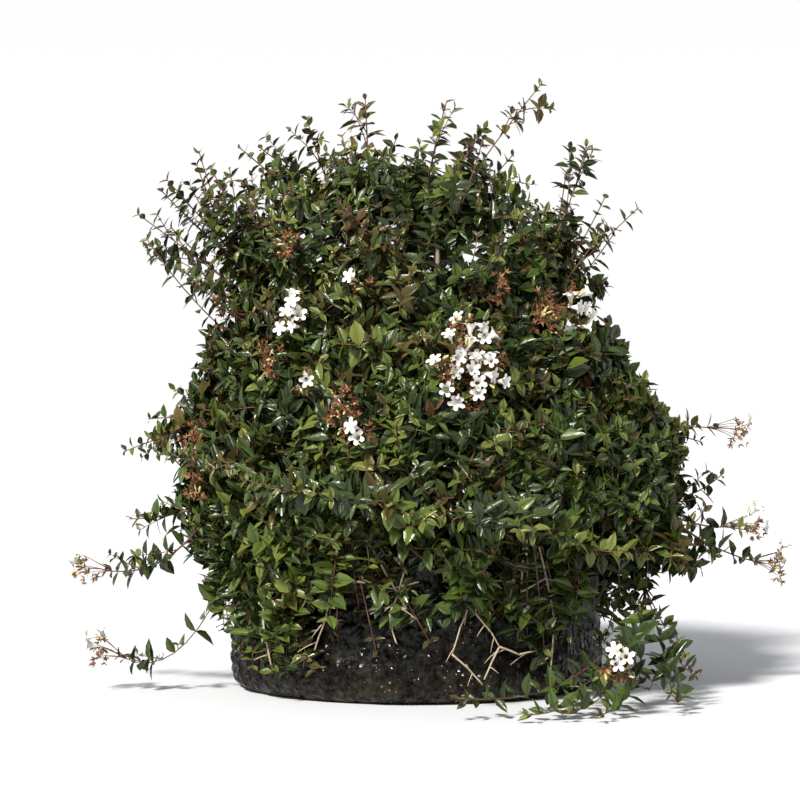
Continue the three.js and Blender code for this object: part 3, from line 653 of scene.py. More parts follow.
# Leaves stand in opposite pairs on the twigs, pointed ovals folded along the rib, 18 to 34 mm long and
# shorter at the tips. They are glossy dark green on the old growth, fresh green on the skirt's new growth
# and bronze at some tips. A spray has one colour, with a few leaves off it, and often a younger tip.
LEAF_STATIONS = [(0, 0), (0.15, 0.31), (0.41, 0.5), (0.73, 0.33), (1, 0)]
LEAF_COLOURS = [
    ("leaf_deep", (0.019, 0.031, 0.008)),
    ("leaf_dark", (0.029, 0.047, 0.011)),
    ("leaf_green", (0.044, 0.071, 0.013)),
    ("leaf_fresh", (0.072, 0.101, 0.017)),
    ("leaf_young", (0.106, 0.124, 0.024)),
    ("leaf_bronze", (0.046, 0.038, 0.009)),
    ("leaf_red", (0.066, 0.033, 0.012)),
    ("leaf_ochre", (0.08, 0.062, 0.014)),
]
GREENS = 5
DARK, FRESH, YOUNG, BRONZE = 1, 3, 4, 5
SPRAY_COLOURS = {
    "skirt": (0.16, 0.27, 0.28, 0.16, 0.02, 0.05, 0.00, 0.06),
    "middle": (0.27, 0.31, 0.19, 0.06, 0.01, 0.08, 0.01, 0.07),
    "upper": (0.20, 0.29, 0.19, 0.07, 0.02, 0.12, 0.01, 0.10),
    "top": (0.22, 0.33, 0.22, 0.09, 0.04, 0.06, 0.01, 0.03),
    "shoots": (0.10, 0.28, 0.28, 0.12, 0.06, 0.09, 0.01, 0.06),
}
LEAF_TURN = {"up": 0.42, "down": -0.08, "flatter": 0.35}
LEAF_FACE = {"out": 0.55, "up": 0.75, "loose": 0.9}
LEAF_WIDTH, LEAF_WIDTH_LOOSE = 0.47, 0.13
LEAF_FOLD, LEAF_FOLD_LOOSE = 0.06, 0.2
BARE_ROOT, YOUNG_PAIRS, TIP_PAIRS = 6, 3, 2
OPENED, OPENED_YOUNG, OPENED_LOOSE = 80, 50, 0.4
LEAST_SIZE, SIZE_LOOSE, YOUNG_SIZE = 0.82, 0.36, 0.5
LEAST_GAP, GAP_LOOSE, YOUNG_GAP = 0.8, 0.4, 0.5
OFF_COLOUR, LOST_LEAF, TWIST_LOOSE = 0.22, 0.04, 0.3
# Six sprays in a hundred have a bronze tip, 14 a young one, 22 a fresh one and the rest none of its own.
TIP_CHANCES = [(0.06, BRONZE), (0.2, YOUNG), (0.42, FRESH), (1, None)]
SPRAY_PAIRS = {"first": 2, "last": 76, "spacing": 12}
MAIN_PAIRS = {"first": 4, "last": 150, "spacing": 14, "size": 25}


def dealt(shares, chance):
    for colour, share in enumerate(shares):
        chance -= share
        if chance < 0:
            return colour
    return DARK


# Leaves on a hanging twig turn up, the others droop a little, and all of them keep to the crown's face.
def add_leaf(mass, at, forward, sideways, opening, size, colour, draw):
    out = outward_at(at).normalized()
    along = forward * math.cos(opening) + sideways * math.sin(opening)
    along += UP * (LEAF_TURN["up"] if forward.z < 0 else LEAF_TURN["down"])
    along -= out * (LEAF_TURN["flatter"] * along.dot(out))
    along.normalize()
    face = out * LEAF_FACE["out"] + UP * LEAF_FACE["up"] + any_way(draw) * LEAF_FACE["loose"]
    end = at + along * size
    if off_the_bag(end, spare=2):
        width = size * (LEAF_WIDTH + LEAF_WIDTH_LOOSE * draw())
        fold = LEAF_FOLD + LEAF_FOLD_LOOSE * draw()
        mass["leaves"].append((at, along, face, size, width, fold, colour))


# Pairs stand from the first to the last distance behind the twig's tip, each a quarter turn from the one
# before. The three nearest to the tip are young: smaller, closer together and less opened.
def add_pairs(mass, twig, colour, draw, first, last, spacing, size, tip_colour=None):
    long = twig["length"]
    turn = draw() * math.pi
    distance = first
    pair = 0
    while distance < min(last, long - BARE_ROOT):
        t = 1 - distance / long
        at, forward = bend_at(twig["curve"], t), heading_at(twig["curve"], t)
        level = forward.cross(UP)
        level = level.normalized() if level.length > 0.05 else Vector((1, 0, 0))
        upright = level.cross(forward).normalized()
        young = max(0.0, 1 - pair / YOUNG_PAIRS)
        opening = math.radians(lerp(OPENED, OPENED_YOUNG, young)) + (draw() - 0.5) * OPENED_LOOSE
        for side in (1, -1):
            sideways = (level * math.cos(turn) + upright * math.sin(turn)) * side
            long_leaf = size * lerp(1, YOUNG_SIZE, young) * (LEAST_SIZE + SIZE_LOOSE * draw())
            own = colour
            if tip_colour is not None and pair < TIP_PAIRS:
                own = tip_colour
            elif draw() < OFF_COLOUR and colour < GREENS:
                own = min(GREENS - 1, max(0, colour + (1 if draw() < 0.5 else -1)))
            if draw() > LOST_LEAF:
                add_leaf(mass, at, forward, sideways, opening, long_leaf, own, draw)
        turn += math.pi / 2 + (draw() - 0.5) * TWIST_LOOSE
        distance += spacing * (LEAST_GAP + GAP_LOOSE * draw()) * lerp(1, YOUNG_GAP, young)
        pair += 1


def leafy_spray(mass, twig, draw):
    tier = mass["tier"]
    colour = dealt(SPRAY_COLOURS[tier["name"]], draw())
    chance = draw()
    tip_colour = next(tip for limit, tip in TIP_CHANCES if chance < limit)
    add_pairs(mass, twig, colour, draw, **SPRAY_PAIRS, size=tier["leaf"], tip_colour=tip_colour)


for mass in masses:
    for twig, draw in mass["sprays"]:
        leafy_spray(mass, twig, draw)
    for limb in mass["limbs"][1 : mass["tier"]["points"] + 1]:
        draw = draws(int(limb["length"] * 1000))
        colour = dealt(SPRAY_COLOURS[mass["tier"]["name"]], draw())
        add_pairs(mass, limb, colour, draw, **MAIN_PAIRS)

# Where the face of the crown is still thin, more twigs grow into the light, from whichever mass is near,
# and so they do in the middle of its top.
FACE_CELL = 27
FACE_TURNS = 65
FACE_ROWS = range(5, 21)
CELL_LEAVES = {"most": 24, "fewer": 10, "from": 360, "over": 120}
TWIG_LEAVES = 7
THIN = {"seed": 4242, "depth": -40, "spans": (30, 130), "lift": 0.03}
TOP = {"seed": 5600, "tips": 54, "radius": 118, "heights": (590, 636), "spans": (30, 140), "lift": -0.04}


def cell_at(point):
    azimuth = math.atan2(point.y, point.x - lean_at(point.z))
    return round(azimuth / math.tau * FACE_TURNS) % FACE_TURNS, round(point.z / FACE_CELL)


def twig_from_near(tip, draw, spans, lift, radius=1.0):
    for mass in nearest(tip, 3):
        twig = fine_twig(mass, tip, draw, spans, lift, radius)
        if twig:
            return mass, twig
    return None, None


crowd = {}
for mass in masses:
    for leaf in mass["leaves"]:
        cell = cell_at(leaf[0] + leaf[1] * (leaf[3] / 2))
        crowd[cell] = crowd.get(cell, 0) + 1
draw = draws(THIN["seed"])
for column in range(FACE_TURNS):
    for row in FACE_ROWS:
        azimuth, height = column / FACE_TURNS * math.tau, row * FACE_CELL
        wanted = CELL_LEAVES["most"] - CELL_LEAVES["fewer"] * ramp(height, CELL_LEAVES)
        missing = wanted * kept_at(azimuth, height) - crowd.get((column, row), 0)
        for _ in range(math.ceil(missing / TWIG_LEAVES)):
            across = azimuth + (draw() - 0.5) * math.tau / FACE_TURNS
            up = distance_at(height + FACE_CELL * (draw() - 0.5))
            tip = crown_point(across, up, THIN["depth"] * draw())
            mass, twig = twig_from_near(tip, draw, THIN["spans"], THIN["lift"])
            if twig:
                leafy_spray(mass, twig, draw)

for i in range(1, TOP["tips"] + 1):
    draw = draws(TOP["seed"] + i)
    radius = TOP["radius"] * math.sqrt(i / TOP["tips"])
    tip = ring_point(i * GOLDEN_ANGLE, radius, lerp(*TOP["heights"], draw()))
    mass, twig = twig_from_near(tip, draw, TOP["spans"], TOP["lift"])
    if twig:
        leafy_spray(mass, twig, draw)

# Stray sprays grow out past the face all round, so that the crown's edge is ragged rather than clipped.
STRAYS = {"seed": 6000, "count": 150, "heights": (130, 500), "beyond": (14, 52), "spans": (60, 170),
          "lift": 0.02, "radius": 1.3, "young": 0.3}
STRAY_PAIRS = {"first": 3, "last": 120, "spacing": 13, "size": 27}
GOLDEN_SHARE = 0.618
for i in range(STRAYS["count"]):
    draw = draws(STRAYS["seed"] + i)
    height = lerp(*STRAYS["heights"], i * GOLDEN_SHARE % 1)
    tip = crown_point(i * GOLDEN_ANGLE, distance_at(height), lerp(*STRAYS["beyond"], draw() ** 1.5))
    mass, twig = twig_from_near(tip, draw, STRAYS["spans"], STRAYS["lift"], STRAYS["radius"])
    if twig:
        colour = dealt(SPRAY_COLOURS[mass["tier"]["name"]], draw())
        tip_colour = YOUNG if draw() < STRAYS["young"] else None
        add_pairs(mass, twig, colour, draw, **STRAY_PAIRS, tip_colour=tip_colour)


# Long shoots stand out of the crown: upright ones at the top with small pairs of leaves, arching ones
# at the sides that end in blossom, trailing ones that reach the ground, and bare old wood at the hem.
SHOOTS = [
    (159, -40, 750, "upright"), (-63, -60, 732, "upright"), (-138, -20, 711, "upright"),
    (39, -90, 724, "upright"), (-24, 70, 696, "upright"), (215, -60, 668, "upright"),
    (281, -30, 597, "upright"), (-194, -70, 668, "upright"), (-276, -30, 652, "upright"),
    (-309, -80, 628, "upright"), (-351, -20, 590, "upright"), (90, 150, 716, "upright"),
    (-120, 190, 690, "upright"), (60, 300, 585, "upright"), (-150, 285, 560, "upright"),
    (-358, -50, 205, "upright"), (-371, -10, 288, "upright"), (-408, -20, 137, "level"),
    (-388, -80, 50, "low"), (404, -20, 318, "flowering"), (410, -70, 193, "flowering"),
    (446, -30, 143, "flowering"), (322, -175, 48, "trailing"), (292, -300, 26, "trailing"),
    (222, -338, 58, "flowering"), (44, -372, 26, "trailing"), (130, 395, 180, "flowering"),
    (-60, 412, 250, "upright"), (-210, 350, 110, "flowering"),
]
YOUNG_SHOOTS = [
    (-225, 10, 676), (-252, -95, 640), (-300, 20, 598), (-334, -60, 556), (-240, 60, 655), (-286, -10, 628),
    (-330, 40, 540), (-212, -125, 622), (-262, -60, 590), (-176, -60, 662), (-296, -100, 560), (192, 10, 645),
    (236, -60, 608), (206, 60, 630), (252, 0, 566), (226, -112, 560), (-92, -60, 684), (4, -90, 672),
    (84, -80, 678), (124, -20, 664), (-50, 60, 676), (60, 80, 668), (-100, 110, 662), (130, 120, 650),
    (0, 150, 672), (-40, 215, 640), (90, 235, 630), (-170, 150, 630), (190, 170, 610), (-220, 120, 600),
    (-270, -50, 664), (-320, -20, 618), (-206, -20, 640), (-244, -70, 612), (-310, 0, 574), (-290, -130, 520),
    (384, -30, 262), (350, -70, 234), (366, 20, 300), (-344, 50, 330), (62, 372, 300), (-206, 330, 262),
]
TRAILING_SHOOTS = [
    (204, -384, 9), (296, -330, 13), (120, -388, 9), (160, -384, 10), (150, 372, 24), (-240, 262, 24),
    (20, 380, 18),
]
HANGING_SHOOTS = [
    (-226, 78), (-206, 46), (-184, 92), (-168, 34), (-146, 70), (-128, 108), (-92, 84), (-66, 112),
    (-46, 62), (-18, 98), (16, 74), (34, 116), (108, 98), (128, 74), (150, 48), (168, 98), (190, 66),
    (212, 102), (226, 60),
]
HANGING_RADIUS = 252
# "beyond" is how far the leaves or blossom at the tip reach past it, "side" counts the side sprays.
BLOSSOM_END = {"beyond": 16, "first": 16, "last": 190, "spacing": 17, "size": 26, "side": 3}
SHOOT_KINDS = {
    "upright": {"lift": 0.02, "beyond": 7, "first": 3, "last": 170, "spacing": 18, "size": 23, "side": 3},
    "flowering": {"lift": -0.08, **BLOSSOM_END},
    "level": {"lift": -0.3, **BLOSSOM_END},
    "low": {"lift": -0.62, **BLOSSOM_END},
    "trailing": {"lift": -0.22, "beyond": 8, "first": 3, "last": 160, "spacing": 17, "size": 24, "side": 1},
    "young": {"lift": -0.03, "beyond": 5, "first": 3, "last": 130, "spacing": 17, "size": 22, "side": 1},
    "hanging": {"lift": 0.28, "beyond": 0, "first": 3, "last": 80, "spacing": 15, "size": 24, "side": 1},
}
BLOSSOMING = ("flowering", "level", "low")
SHOOT_RADII, SHOOT_FROM, SHOOT_FROM_LOOSE = (1.7, 0.7), 0.4, 0.2
SHOOT_SEED, HEAD_SEED, OLD_WOOD_SEED = 7000, 8000, 8800
SHOOT_RISE, OUT_OVER, RISE_LEAD = 135, 300, 2
# Shoots that end over the first height or under the second one leave a joint of the twigs. Those over the
# third one rise, and those under the fourth one have the skirt's colours.
HIGH_SHOOT, LOW_SHOOT, RISING_OVER, SKIRT_UNDER, BRONZE_SHOOTS = 500, 60, 400, 300, 0.6
TRAIL_FROM = {"radius": 284, "height": 104, "azimuth": math.radians(-28), "within": 1, "share": 0.18}
SIDE_SPRAY = {"from": 0.4, "apart": 0.14, "aside": 60, "down": 0.4, "most": 50, "share": 0.6, "least": 0.7,
              "loose": 0.3, "lift": 0.04, "radii": (0.9, 0.45)}
SIDE_PAIRS = {"first": 2, "last": 60, "spacing": 13, "size": 23}
# The heads of blossom: the azimuth and height of each, how many flowers it has and how many empty calyces.
FLOWER_HEADS = [
    (-77, 405, 23, 21), (-36, 466, 7, 4), (-47, 458, 0, 9), (-122, 455, 6, 3), (-103, 494, 1, 1),
    (-116, 382, 1, 2), (-105, 318, 2, 1), (-128, 414, 0, 6), (-109, 343, 0, 8), (-155, 312, 0, 6),
    (-150, 254, 0, 5), (-153, 460, 0, 4), (-120, 546, 0, 3), (-60, 488, 0, 4), (62, 380, 6, 5),
    (105, 470, 5, 6), (150, 420, 5, 4), (20, 350, 0, 6), (80, 300, 0, 5), (178, 330, 2, 5),
]
HEAD_PAIRS = {"first": 22, "last": 120, "spacing": 15, "size": 26}
LARGE_HEAD, LARGE_HEAD_REACH, HEAD_REACH = 10, 24, 16
SHOOT_FLOWERS, SHOOT_CALYCES = 3, 4
SHOOT_HEAD_SEED, FACE_HEAD_SEED = 9000, 9500
# The old wood's kinks as seen from in front, each path as (x, height) places that hang close to the bag.
OLD_WOOD = [
    [(64, 160), (61, 122), (49, 92), (40, 63)], [(40, 63), (58, 47), (75, 28)],
    [(66, 160), (68, 108), (86, 86), (95, 70)], [(95, 70), (86, 53), (77, 33)],
    [(95, 70), (118, 60), (137, 63)],
    [(-96, 150), (-104, 106), (-113, 81), (-118, 65)], [(-116, 160), (-125, 131), (-132, 115), (-157, 100)],
    [(-14, 160), (-22, 131), (-31, 110), (-28, 90), (-24, 76)], [(-12, 115), (-33, 117), (-50, 110)],
    [(48, 156), (68, 148), (95, 146), (120, 140)], [(192, 170), (189, 136), (194, 118)],
    [(-156, 122), (-120, 138), (-88, 130)], [(-62, 148), (-30, 138), (2, 146)],
    [(120, 132), (148, 146), (176, 140)], [(150, 150), (160, 100), (156, 40)],
    [(-176, 140), (-180, 96), (-170, 44)],
]
OLD_WOOD_BEHIND = [[(40, 165), (36, 110), (48, 62)], [(36, 110), (10, 66)], [(-120, 150), (-128, 84)]]
OLD_WOOD_RADIUS = 260
OLD_LIMB = {"at": 0.5, "lift": 0.2, "radii": (2.0, 1.3)}
KINK = {"root": 1.3, "tip": 1.15, "thinner": 0.15, "aside": 0.4, "sides": 5, "steps": 5}
SPUR = {"from": 0.3, "loose": 0.5, "across": 50, "off": 4, "down": 4, "down_loose": 14, "radii": (0.9, 0.4)}
heads = []


def grow_shoot(furthest, kind, seed):
    mass = nearest(furthest, 1)[0]
    draw = draws(seed)
    inward = (mass["limbs"][0]["curve"][0] - furthest).normalized()
    tip = furthest + inward * kind["beyond"]
    at = SHOOT_FROM + SHOOT_FROM_LOOSE * draw()
    return mass, main_twig(mass, tip, at, kind["lift"], SHOOT_RADII), draw


# A shoot at the top rises from the nearest joint that lies well below its tip, rather than from a stem,
# and one that trails on the ground comes out from under the hem.
def grow_from_joint(furthest, kind, seed):
    draw = draws(seed)
    out = outward_at(furthest) / OUT_OVER
    rises = furthest.z > RISING_OVER
    rise = (UP + out).normalized() if rises else out.normalized()
    tip = furthest - rise * kind["beyond"]
    wanted = tip - rise * SHOOT_RISE
    if not rises:
        azimuth = math.atan2(tip.y, tip.x)
        aside = azimuth - TRAIL_FROM["azimuth"]
        if abs(aside) < TRAIL_FROM["within"]:
            azimuth = TRAIL_FROM["azimuth"] + TRAIL_FROM["share"] * aside
        wanted = ring_point(azimuth, TRAIL_FROM["radius"], TRAIL_FROM["height"])
    choices = [(mass, *joint) for mass in nearest(wanted, 4) for joint in mass["joints"]]
    mass, at, heading, size = min(choices, key=lambda joint: (joint[1] - wanted).length)
    curve = arching(at, (heading + rise * RISE_LEAD).normalized(), tip, kind["lift"])
    radii = (min(size, SHOOT_RADII[0]), SHOOT_RADII[1])
    return mass, add_limb(mass, curve, radii, MAIN_TWIG["sides"], MAIN_TWIG["steps"]), draw


hanging = [(x, -math.sqrt(HANGING_RADIUS ** 2 - x ** 2), z, "hanging") for x, z in HANGING_SHOOTS]
young = [(*place, "young") for place in YOUNG_SHOOTS]
trailing = [(*place, "trailing") for place in TRAILING_SHOOTS]
for i, (x, y, z, name) in enumerate(SHOOTS + young + hanging + trailing):
    kind = SHOOT_KINDS[name]
    from_joint = z > HIGH_SHOOT or z < LOW_SHOOT and name != "hanging"
    grow = grow_from_joint if from_joint else grow_shoot
    mass, twig, draw = grow(Vector((x, y, z)), kind, SHOOT_SEED + i)
    colour = dealt(SPRAY_COLOURS["shoots" if z > SKIRT_UNDER else "skirt"], draw())
    tip_colour = BRONZE if draw() < BRONZE_SHOOTS else YOUNG
    pairs = {key: kind[key] for key in ("first", "last", "spacing", "size")}
    add_pairs(mass, twig, colour, draw, **pairs, tip_colour=tip_colour)
    for side in range(kind["side"]):
        t = SIDE_SPRAY["from"] + SIDE_SPRAY["apart"] * side
        at, forward = bend_at(twig["curve"], t), heading_at(twig["curve"], t)
        aside = any_way(draw, SIDE_SPRAY["down"]) * SIDE_SPRAY["aside"]
        onward = min(SIDE_SPRAY["most"], twig["length"] * (1 - t) * SIDE_SPRAY["share"])
        end = at + forward * (onward * (SIDE_SPRAY["least"] + SIDE_SPRAY["loose"] * draw())) + aside
        if off_the_bag(end, spare=8):
            curve = arching(at, forward, end, SIDE_SPRAY["lift"])
            small = add_limb(mass, curve, SIDE_SPRAY["radii"], FINE_TWIG["sides"], FINE_TWIG["steps"])
            tip_colour = YOUNG if draw() < 0.5 else BRONZE
            add_pairs(mass, small, colour, draw, **SIDE_PAIRS, tip_colour=tip_colour)
    if name in BLOSSOMING:
        heads.append((mass, twig, SHOOT_FLOWERS, SHOOT_CALYCES, SHOOT_HEAD_SEED + i))

for i, (azimuth, height, full, empty) in enumerate(FLOWER_HEADS):
    beyond = LARGE_HEAD_REACH if full > LARGE_HEAD else HEAD_REACH
    point = crown_point(math.radians(azimuth), distance_at(height), beyond)
    mass, twig, draw = grow_shoot(point, SHOOT_KINDS["flowering"], HEAD_SEED + i)
    add_pairs(mass, twig, DARK, draw, **HEAD_PAIRS)
    heads.append((mass, twig, full, empty, FACE_HEAD_SEED + i))

# The bare old wood hangs close to the bag's wall in kinked forks, out of the underside of the skirt. A
# path that starts at another's kink is a fork of it; the rest are led there from a mass's stem.
for side, paths in ((-1, OLD_WOOD), (1, OLD_WOOD_BEHIND)):
    for i, path in enumerate(paths):
        draw = draws(OLD_WOOD_SEED + i)
        points = [Vector((x, side * math.sqrt(OLD_WOOD_RADIUS ** 2 - x ** 2), z)) for x, z in path]
        mass = nearest(points[0], 1)[0]
        if not any(path[0] in other[1:] for other in paths):
            main_twig(mass, points[0], OLD_LIMB["at"], OLD_LIMB["lift"], OLD_LIMB["radii"])["old"] = True
        for step, (here, there) in enumerate(zip(points, points[1:])):
            thick = (KINK["root"] - KINK["thinner"] * step, KINK["tip"] - KINK["thinner"] * step)
            aside = Vector((draw() - 0.5, 0, draw() - 0.5)) * KINK["aside"]
            bent = arching(here, ((there - here).normalized() + aside).normalized(), there, 0)
            twig = add_limb(mass, bent, thick, KINK["sides"], KINK["steps"], old=True)
            at = bend_at(twig["curve"], SPUR["from"] + SPUR["loose"] * draw())
            across = (draw() - 0.5) * SPUR["across"]
            end = at + Vector((across, side * SPUR["off"], -SPUR["down"] - SPUR["down_loose"] * draw()))
            if off_the_bag(end, spare=6):
                curve = arching(at, (end - at).normalized(), end, 0.1)
                add_limb(mass, curve, SPUR["radii"], sides=3, steps=3, old=True)


# Blossom stands in loose panicles at the ends of shoots: white funnels of five lobes on a short green
# stalk, slender cream buds, and the coppery sepals that stay when a flower has dropped.
LOBES = 5
PANICLE = {"spread": 6.4, "first": 0.3, "wide": 0.85, "high": 1.2, "out": 14, "in": 0.1, "loose": 14}
STALK = {"from": 14, "more": 0.8, "furthest": 0.5, "lift": 0.05, "radii": (0.7, 0.4)}
FLOWER_TURN = {"stalk": 0.6, "out": 0.45, "loose": 1.7, "down": 0.45}
FLOWER_SIZE, FLOWER_LOOSE = 16.5, 4
SEPAL = {"size": 6.5, "loose": 2.5, "width": 2.2, "fold": 0.1, "cupped": 0.4, "copper": 0.68}
CALYCES = {"count": 5, "apart": 15, "turned": 2, "opened": 0.5}
BUDS = {"chance": 0.4, "count": 2, "apart": 6, "size": 7, "loose": 5}
flowers, buds, sepals = [], [], []


def add_sepals(at, along, draw, opened):
    level = along.orthogonal().normalized()
    upright = level.cross(along)
    for turn in range(LOBES):
        angle = turn * math.tau / LOBES + draw()
        sideways = level * math.cos(angle) + upright * math.sin(angle)
        lead = (along * math.cos(opened) + sideways * math.sin(opened)).normalized()
        size = SEPAL["size"] + SEPAL["loose"] * draw()
        colour = 0 if draw() < SEPAL["copper"] else 1
        face = along - sideways * SEPAL["cupped"]
        sepals.append((at, lead, face, size, SEPAL["width"], SEPAL["fold"], colour))


for mass, twig, full, empty, seed in heads:
    draw = draws(seed)
    tip, forward = bend_at(twig["curve"], 1), heading_at(twig["curve"], 1)
    out = outward_at(tip).normalized()
    level = out.cross(UP)
    total = full + empty
    spread = PANICLE["spread"] * math.sqrt(total)
    for i in range(total):
        reach = spread * math.sqrt((i + PANICLE["first"]) / total)
        angle = i * GOLDEN_ANGLE + draw()
        wide, high = reach * math.cos(angle) * PANICLE["wide"], reach * math.sin(angle) * PANICLE["high"]
        place = tip + level * wide + UP * high
        place += out * (PANICLE["out"] - reach * PANICLE["in"] + PANICLE["loose"] * (draw() - 0.5))
        share = min(STALK["furthest"], (STALK["from"] + reach * STALK["more"]) / twig["length"])
        back = bend_at(twig["curve"], 1 - share)
        if not off_the_bag(place, spare=6):
            continue
        stalk = arching(back, forward, place, STALK["lift"])
        add_limb(mass, stalk, STALK["radii"], sides=3, steps=3)
        along = (place - back).normalized() * FLOWER_TURN["stalk"] + out * FLOWER_TURN["out"]
        along = (along + any_way(draw, FLOWER_TURN["down"]) * FLOWER_TURN["loose"]).normalized()
        # Steps of five places mix the open flowers with the empty calyces.
        if (i * 5) % total < full:
            flowers.append((place, along, FLOWER_SIZE + FLOWER_LOOSE * draw(), draw() * math.tau))
            add_sepals(place, along, draw, CALYCES["opened"])
        else:
            for _ in range(CALYCES["count"]):
                side = any_way(draw)
                lead = (along + side * CALYCES["turned"]).normalized()
                add_sepals(place + side * CALYCES["apart"], lead, draw, CALYCES["opened"] * (1 + draw()))
        if draw() < BUDS["chance"]:
            for _ in range(BUDS["count"]):
                side = any_way(draw)
                lead = (along + side).normalized()
                size = BUDS["size"] + BUDS["loose"] * draw()
                buds.append((place + side * BUDS["apart"], lead, size, draw() * math.tau))


# All the growth is made up here as joined meshes: leaves by tier, twigs, old wood, and each kind of
# blossom. One leaf has eight faces, its two halves folded up from a sharp rib.
BLADE_CORNERS = [
    (side, x, half) for x, half in LEAF_STATIONS for side in ((0,) if half == 0 else (0, 1, -1))
]
BLADE_RIB = [i for i, (side, _, _) in enumerate(BLADE_CORNERS) if side == 0]
BLADE_QUADS = [(1, 4, 5, 2), (1, 3, 6, 4), (4, 7, 8, 5), (4, 6, 9, 7)]
BLADE_POINTS = [(0, 1, 2), (0, 3, 1), (7, 10, 8), (7, 9, 10)]
FOLD_RISE, TIP_FALL, BLADE_RISE = 2.2, 0.16, 0.05


def blade_mesh(name, blades):
    count = len(blades)
    roots, alongs, faces = (np.array([tuple(blade[k]) for blade in blades]) for k in range(3))
    lengths, widths, folds = (np.array([blade[k] for blade in blades])[:, None] for k in (3, 4, 5))
    across = np.cross(faces, alongs)
    across /= np.linalg.norm(across, axis=1)[:, None]
    upper = np.cross(alongs, across)
    rows = []
    for side, x, half in BLADE_CORNERS:
        folded = folds * FOLD_RISE * half * abs(side) * widths
        rise = folded - TIP_FALL * x * x * lengths + BLADE_RISE * x * lengths
        rows.append(roots + alongs * (x * lengths) + across * (side * half * widths) + upper * rise)
    corners = np.stack(rows, axis=1).reshape(-1, 3) * MM
    base = (np.arange(count) * len(BLADE_CORNERS))[:, None]
    quad_corners = (base[:, :, None] + np.array(BLADE_QUADS)[None]).reshape(-1, 4)
    point_corners = (base[:, :, None] + np.array(BLADE_POINTS)[None]).reshape(-1, 3)
    mesh = bpy.data.meshes.new(name)
    mesh.vertices.add(len(corners))
    mesh.vertices.foreach_set("co", corners.ravel())
    loops = np.concatenate([quad_corners.ravel(), point_corners.ravel()])
    mesh.loops.add(len(loops))
    mesh.loops.foreach_set("vertex_index", loops)
    point_starts = quad_corners.size + np.arange(len(point_corners)) * 3
    starts = np.concatenate([np.arange(len(quad_corners)) * 4, point_starts])
    mesh.polygons.add(len(starts))
    mesh.polygons.foreach_set("loop_start", starts)
    colours = np.repeat([blade[6] for blade in blades], len(BLADE_QUADS))
    mesh.polygons.foreach_set("material_index", np.concatenate([colours, colours]))
    mesh.update(calc_edges=True)
    ends = np.zeros(len(mesh.edges) * 2, int)
    mesh.edges.foreach_get("vertices", ends)
    on_rib = np.isin(ends.reshape(-1, 2) % len(BLADE_CORNERS), BLADE_RIB).all(axis=1)
    mesh.attributes.new("sharp_edge", "BOOLEAN", "EDGE").data.foreach_set("value", on_rib)
    places = [(side, x, 0) for side, x, half in BLADE_CORNERS]
    blade_place = mesh.attributes.new("blade", "FLOAT_VECTOR", "POINT")
    blade_place.data.foreach_set("vector", np.tile(np.ravel(places), count))
    return mesh


# Each half of a blade swells up between the rib and the margin, which draws its gloss out into a streak.
def leaf_finish(name, colour, roughness=0.3):
    material, shader = new_finish(name, colour, roughness)
    shader.inputs["Specular IOR Level"].default_value = 0.4
    blade = add_node(material, "ShaderNodeAttribute", {"attribute_name": "blade"}).outputs["Vector"]
    across = add_node(material, "ShaderNodeSeparateXYZ", Vector=blade).outputs["X"]
    wave = worked(material, "SINE", worked(material, "MULTIPLY", across, math.pi))
    halves = bumped(material, worked(material, "ABSOLUTE", wave), 1.0, 0.0006)
    place = place_on(material)
    patches = noise_on(material, place, 70, 2)
    gloss = ranged(material, patches, 0.35, 0.65, roughness - 0.08, roughness + 0.12)
    put(material, gloss, shader.inputs["Roughness"])
    quilt = bumped(material, noise_on(material, place, 300, 3), 0.4, 0.001, Normal=halves)
    put(material, quilt, shader.inputs["Normal"])
    return material


leaf_finishes = [leaf_finish(*colour) for colour in LEAF_COLOURS]
for tier in TIERS:
    for side, behind in (("rear", True), ("front", False)):
        members = [mass for mass in masses if mass["tier"] is tier and (mass["azimuth"] < math.pi) is behind]
        leaves = [leaf for mass in members for leaf in mass["leaves"]]
        name = f"leaves_{tier['name']}_{side}"
        piece = new_piece(name, blade_mesh(name, leaves), leaf_finishes)
        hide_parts(*[f"foliage_{mass['name']}" for mass in members])
        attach(piece, "root")


def tube_mesh(name, limbs):
    points, quads, ends = [], [], []
    for limb in limbs:
        curve, sides, steps = limb["curve"], limb["sides"], limb["steps"]
        normal = (curve[1] - curve[0]).cross(curve[2] - curve[0])
        if normal.length < 1e-3:
            normal = Vector((1, 0.3, 0))
        normal.normalize()
        base = len(points)
        for step in range(steps + 1):
            t = step / steps
            at, radius = bend_at(curve, t), lerp(*limb["radii"], t)
            side = heading_at(curve, t).cross(normal).normalized()
            for k in range(sides):
                angle = k * math.tau / sides
                points.append(at + side * (radius * math.cos(angle)) + normal * (radius * math.sin(angle)))
        for step in range(steps):
            for k in range(sides):
                low, high = base + step * sides, base + (step + 1) * sides
                quads.append((low + k, high + k, high + (k + 1) % sides, low + (k + 1) % sides))
        ends.append(tuple(base + k for k in range(sides)))
        ends.append(tuple(base + steps * sides + k for k in reversed(range(sides))))
    mesh = bpy.data.meshes.new(name)
    mesh.from_pydata([point * MM for point in points], [], quads + ends)
    mesh.update()
    return mesh


def twig_finish(name, colour, roughness):
    material, shader = new_finish(name, colour, roughness)
    grain = noise_on(material, place_on(material), 600, 4)
    gloss = ranged(material, grain, 0.3, 0.7, roughness - 0.12, roughness + 0.12)
    put(material, gloss, shader.inputs["Roughness"])
    put(material, bumped(material, grain, 0.6, 0.0006), shader.inputs["Normal"])
    return material


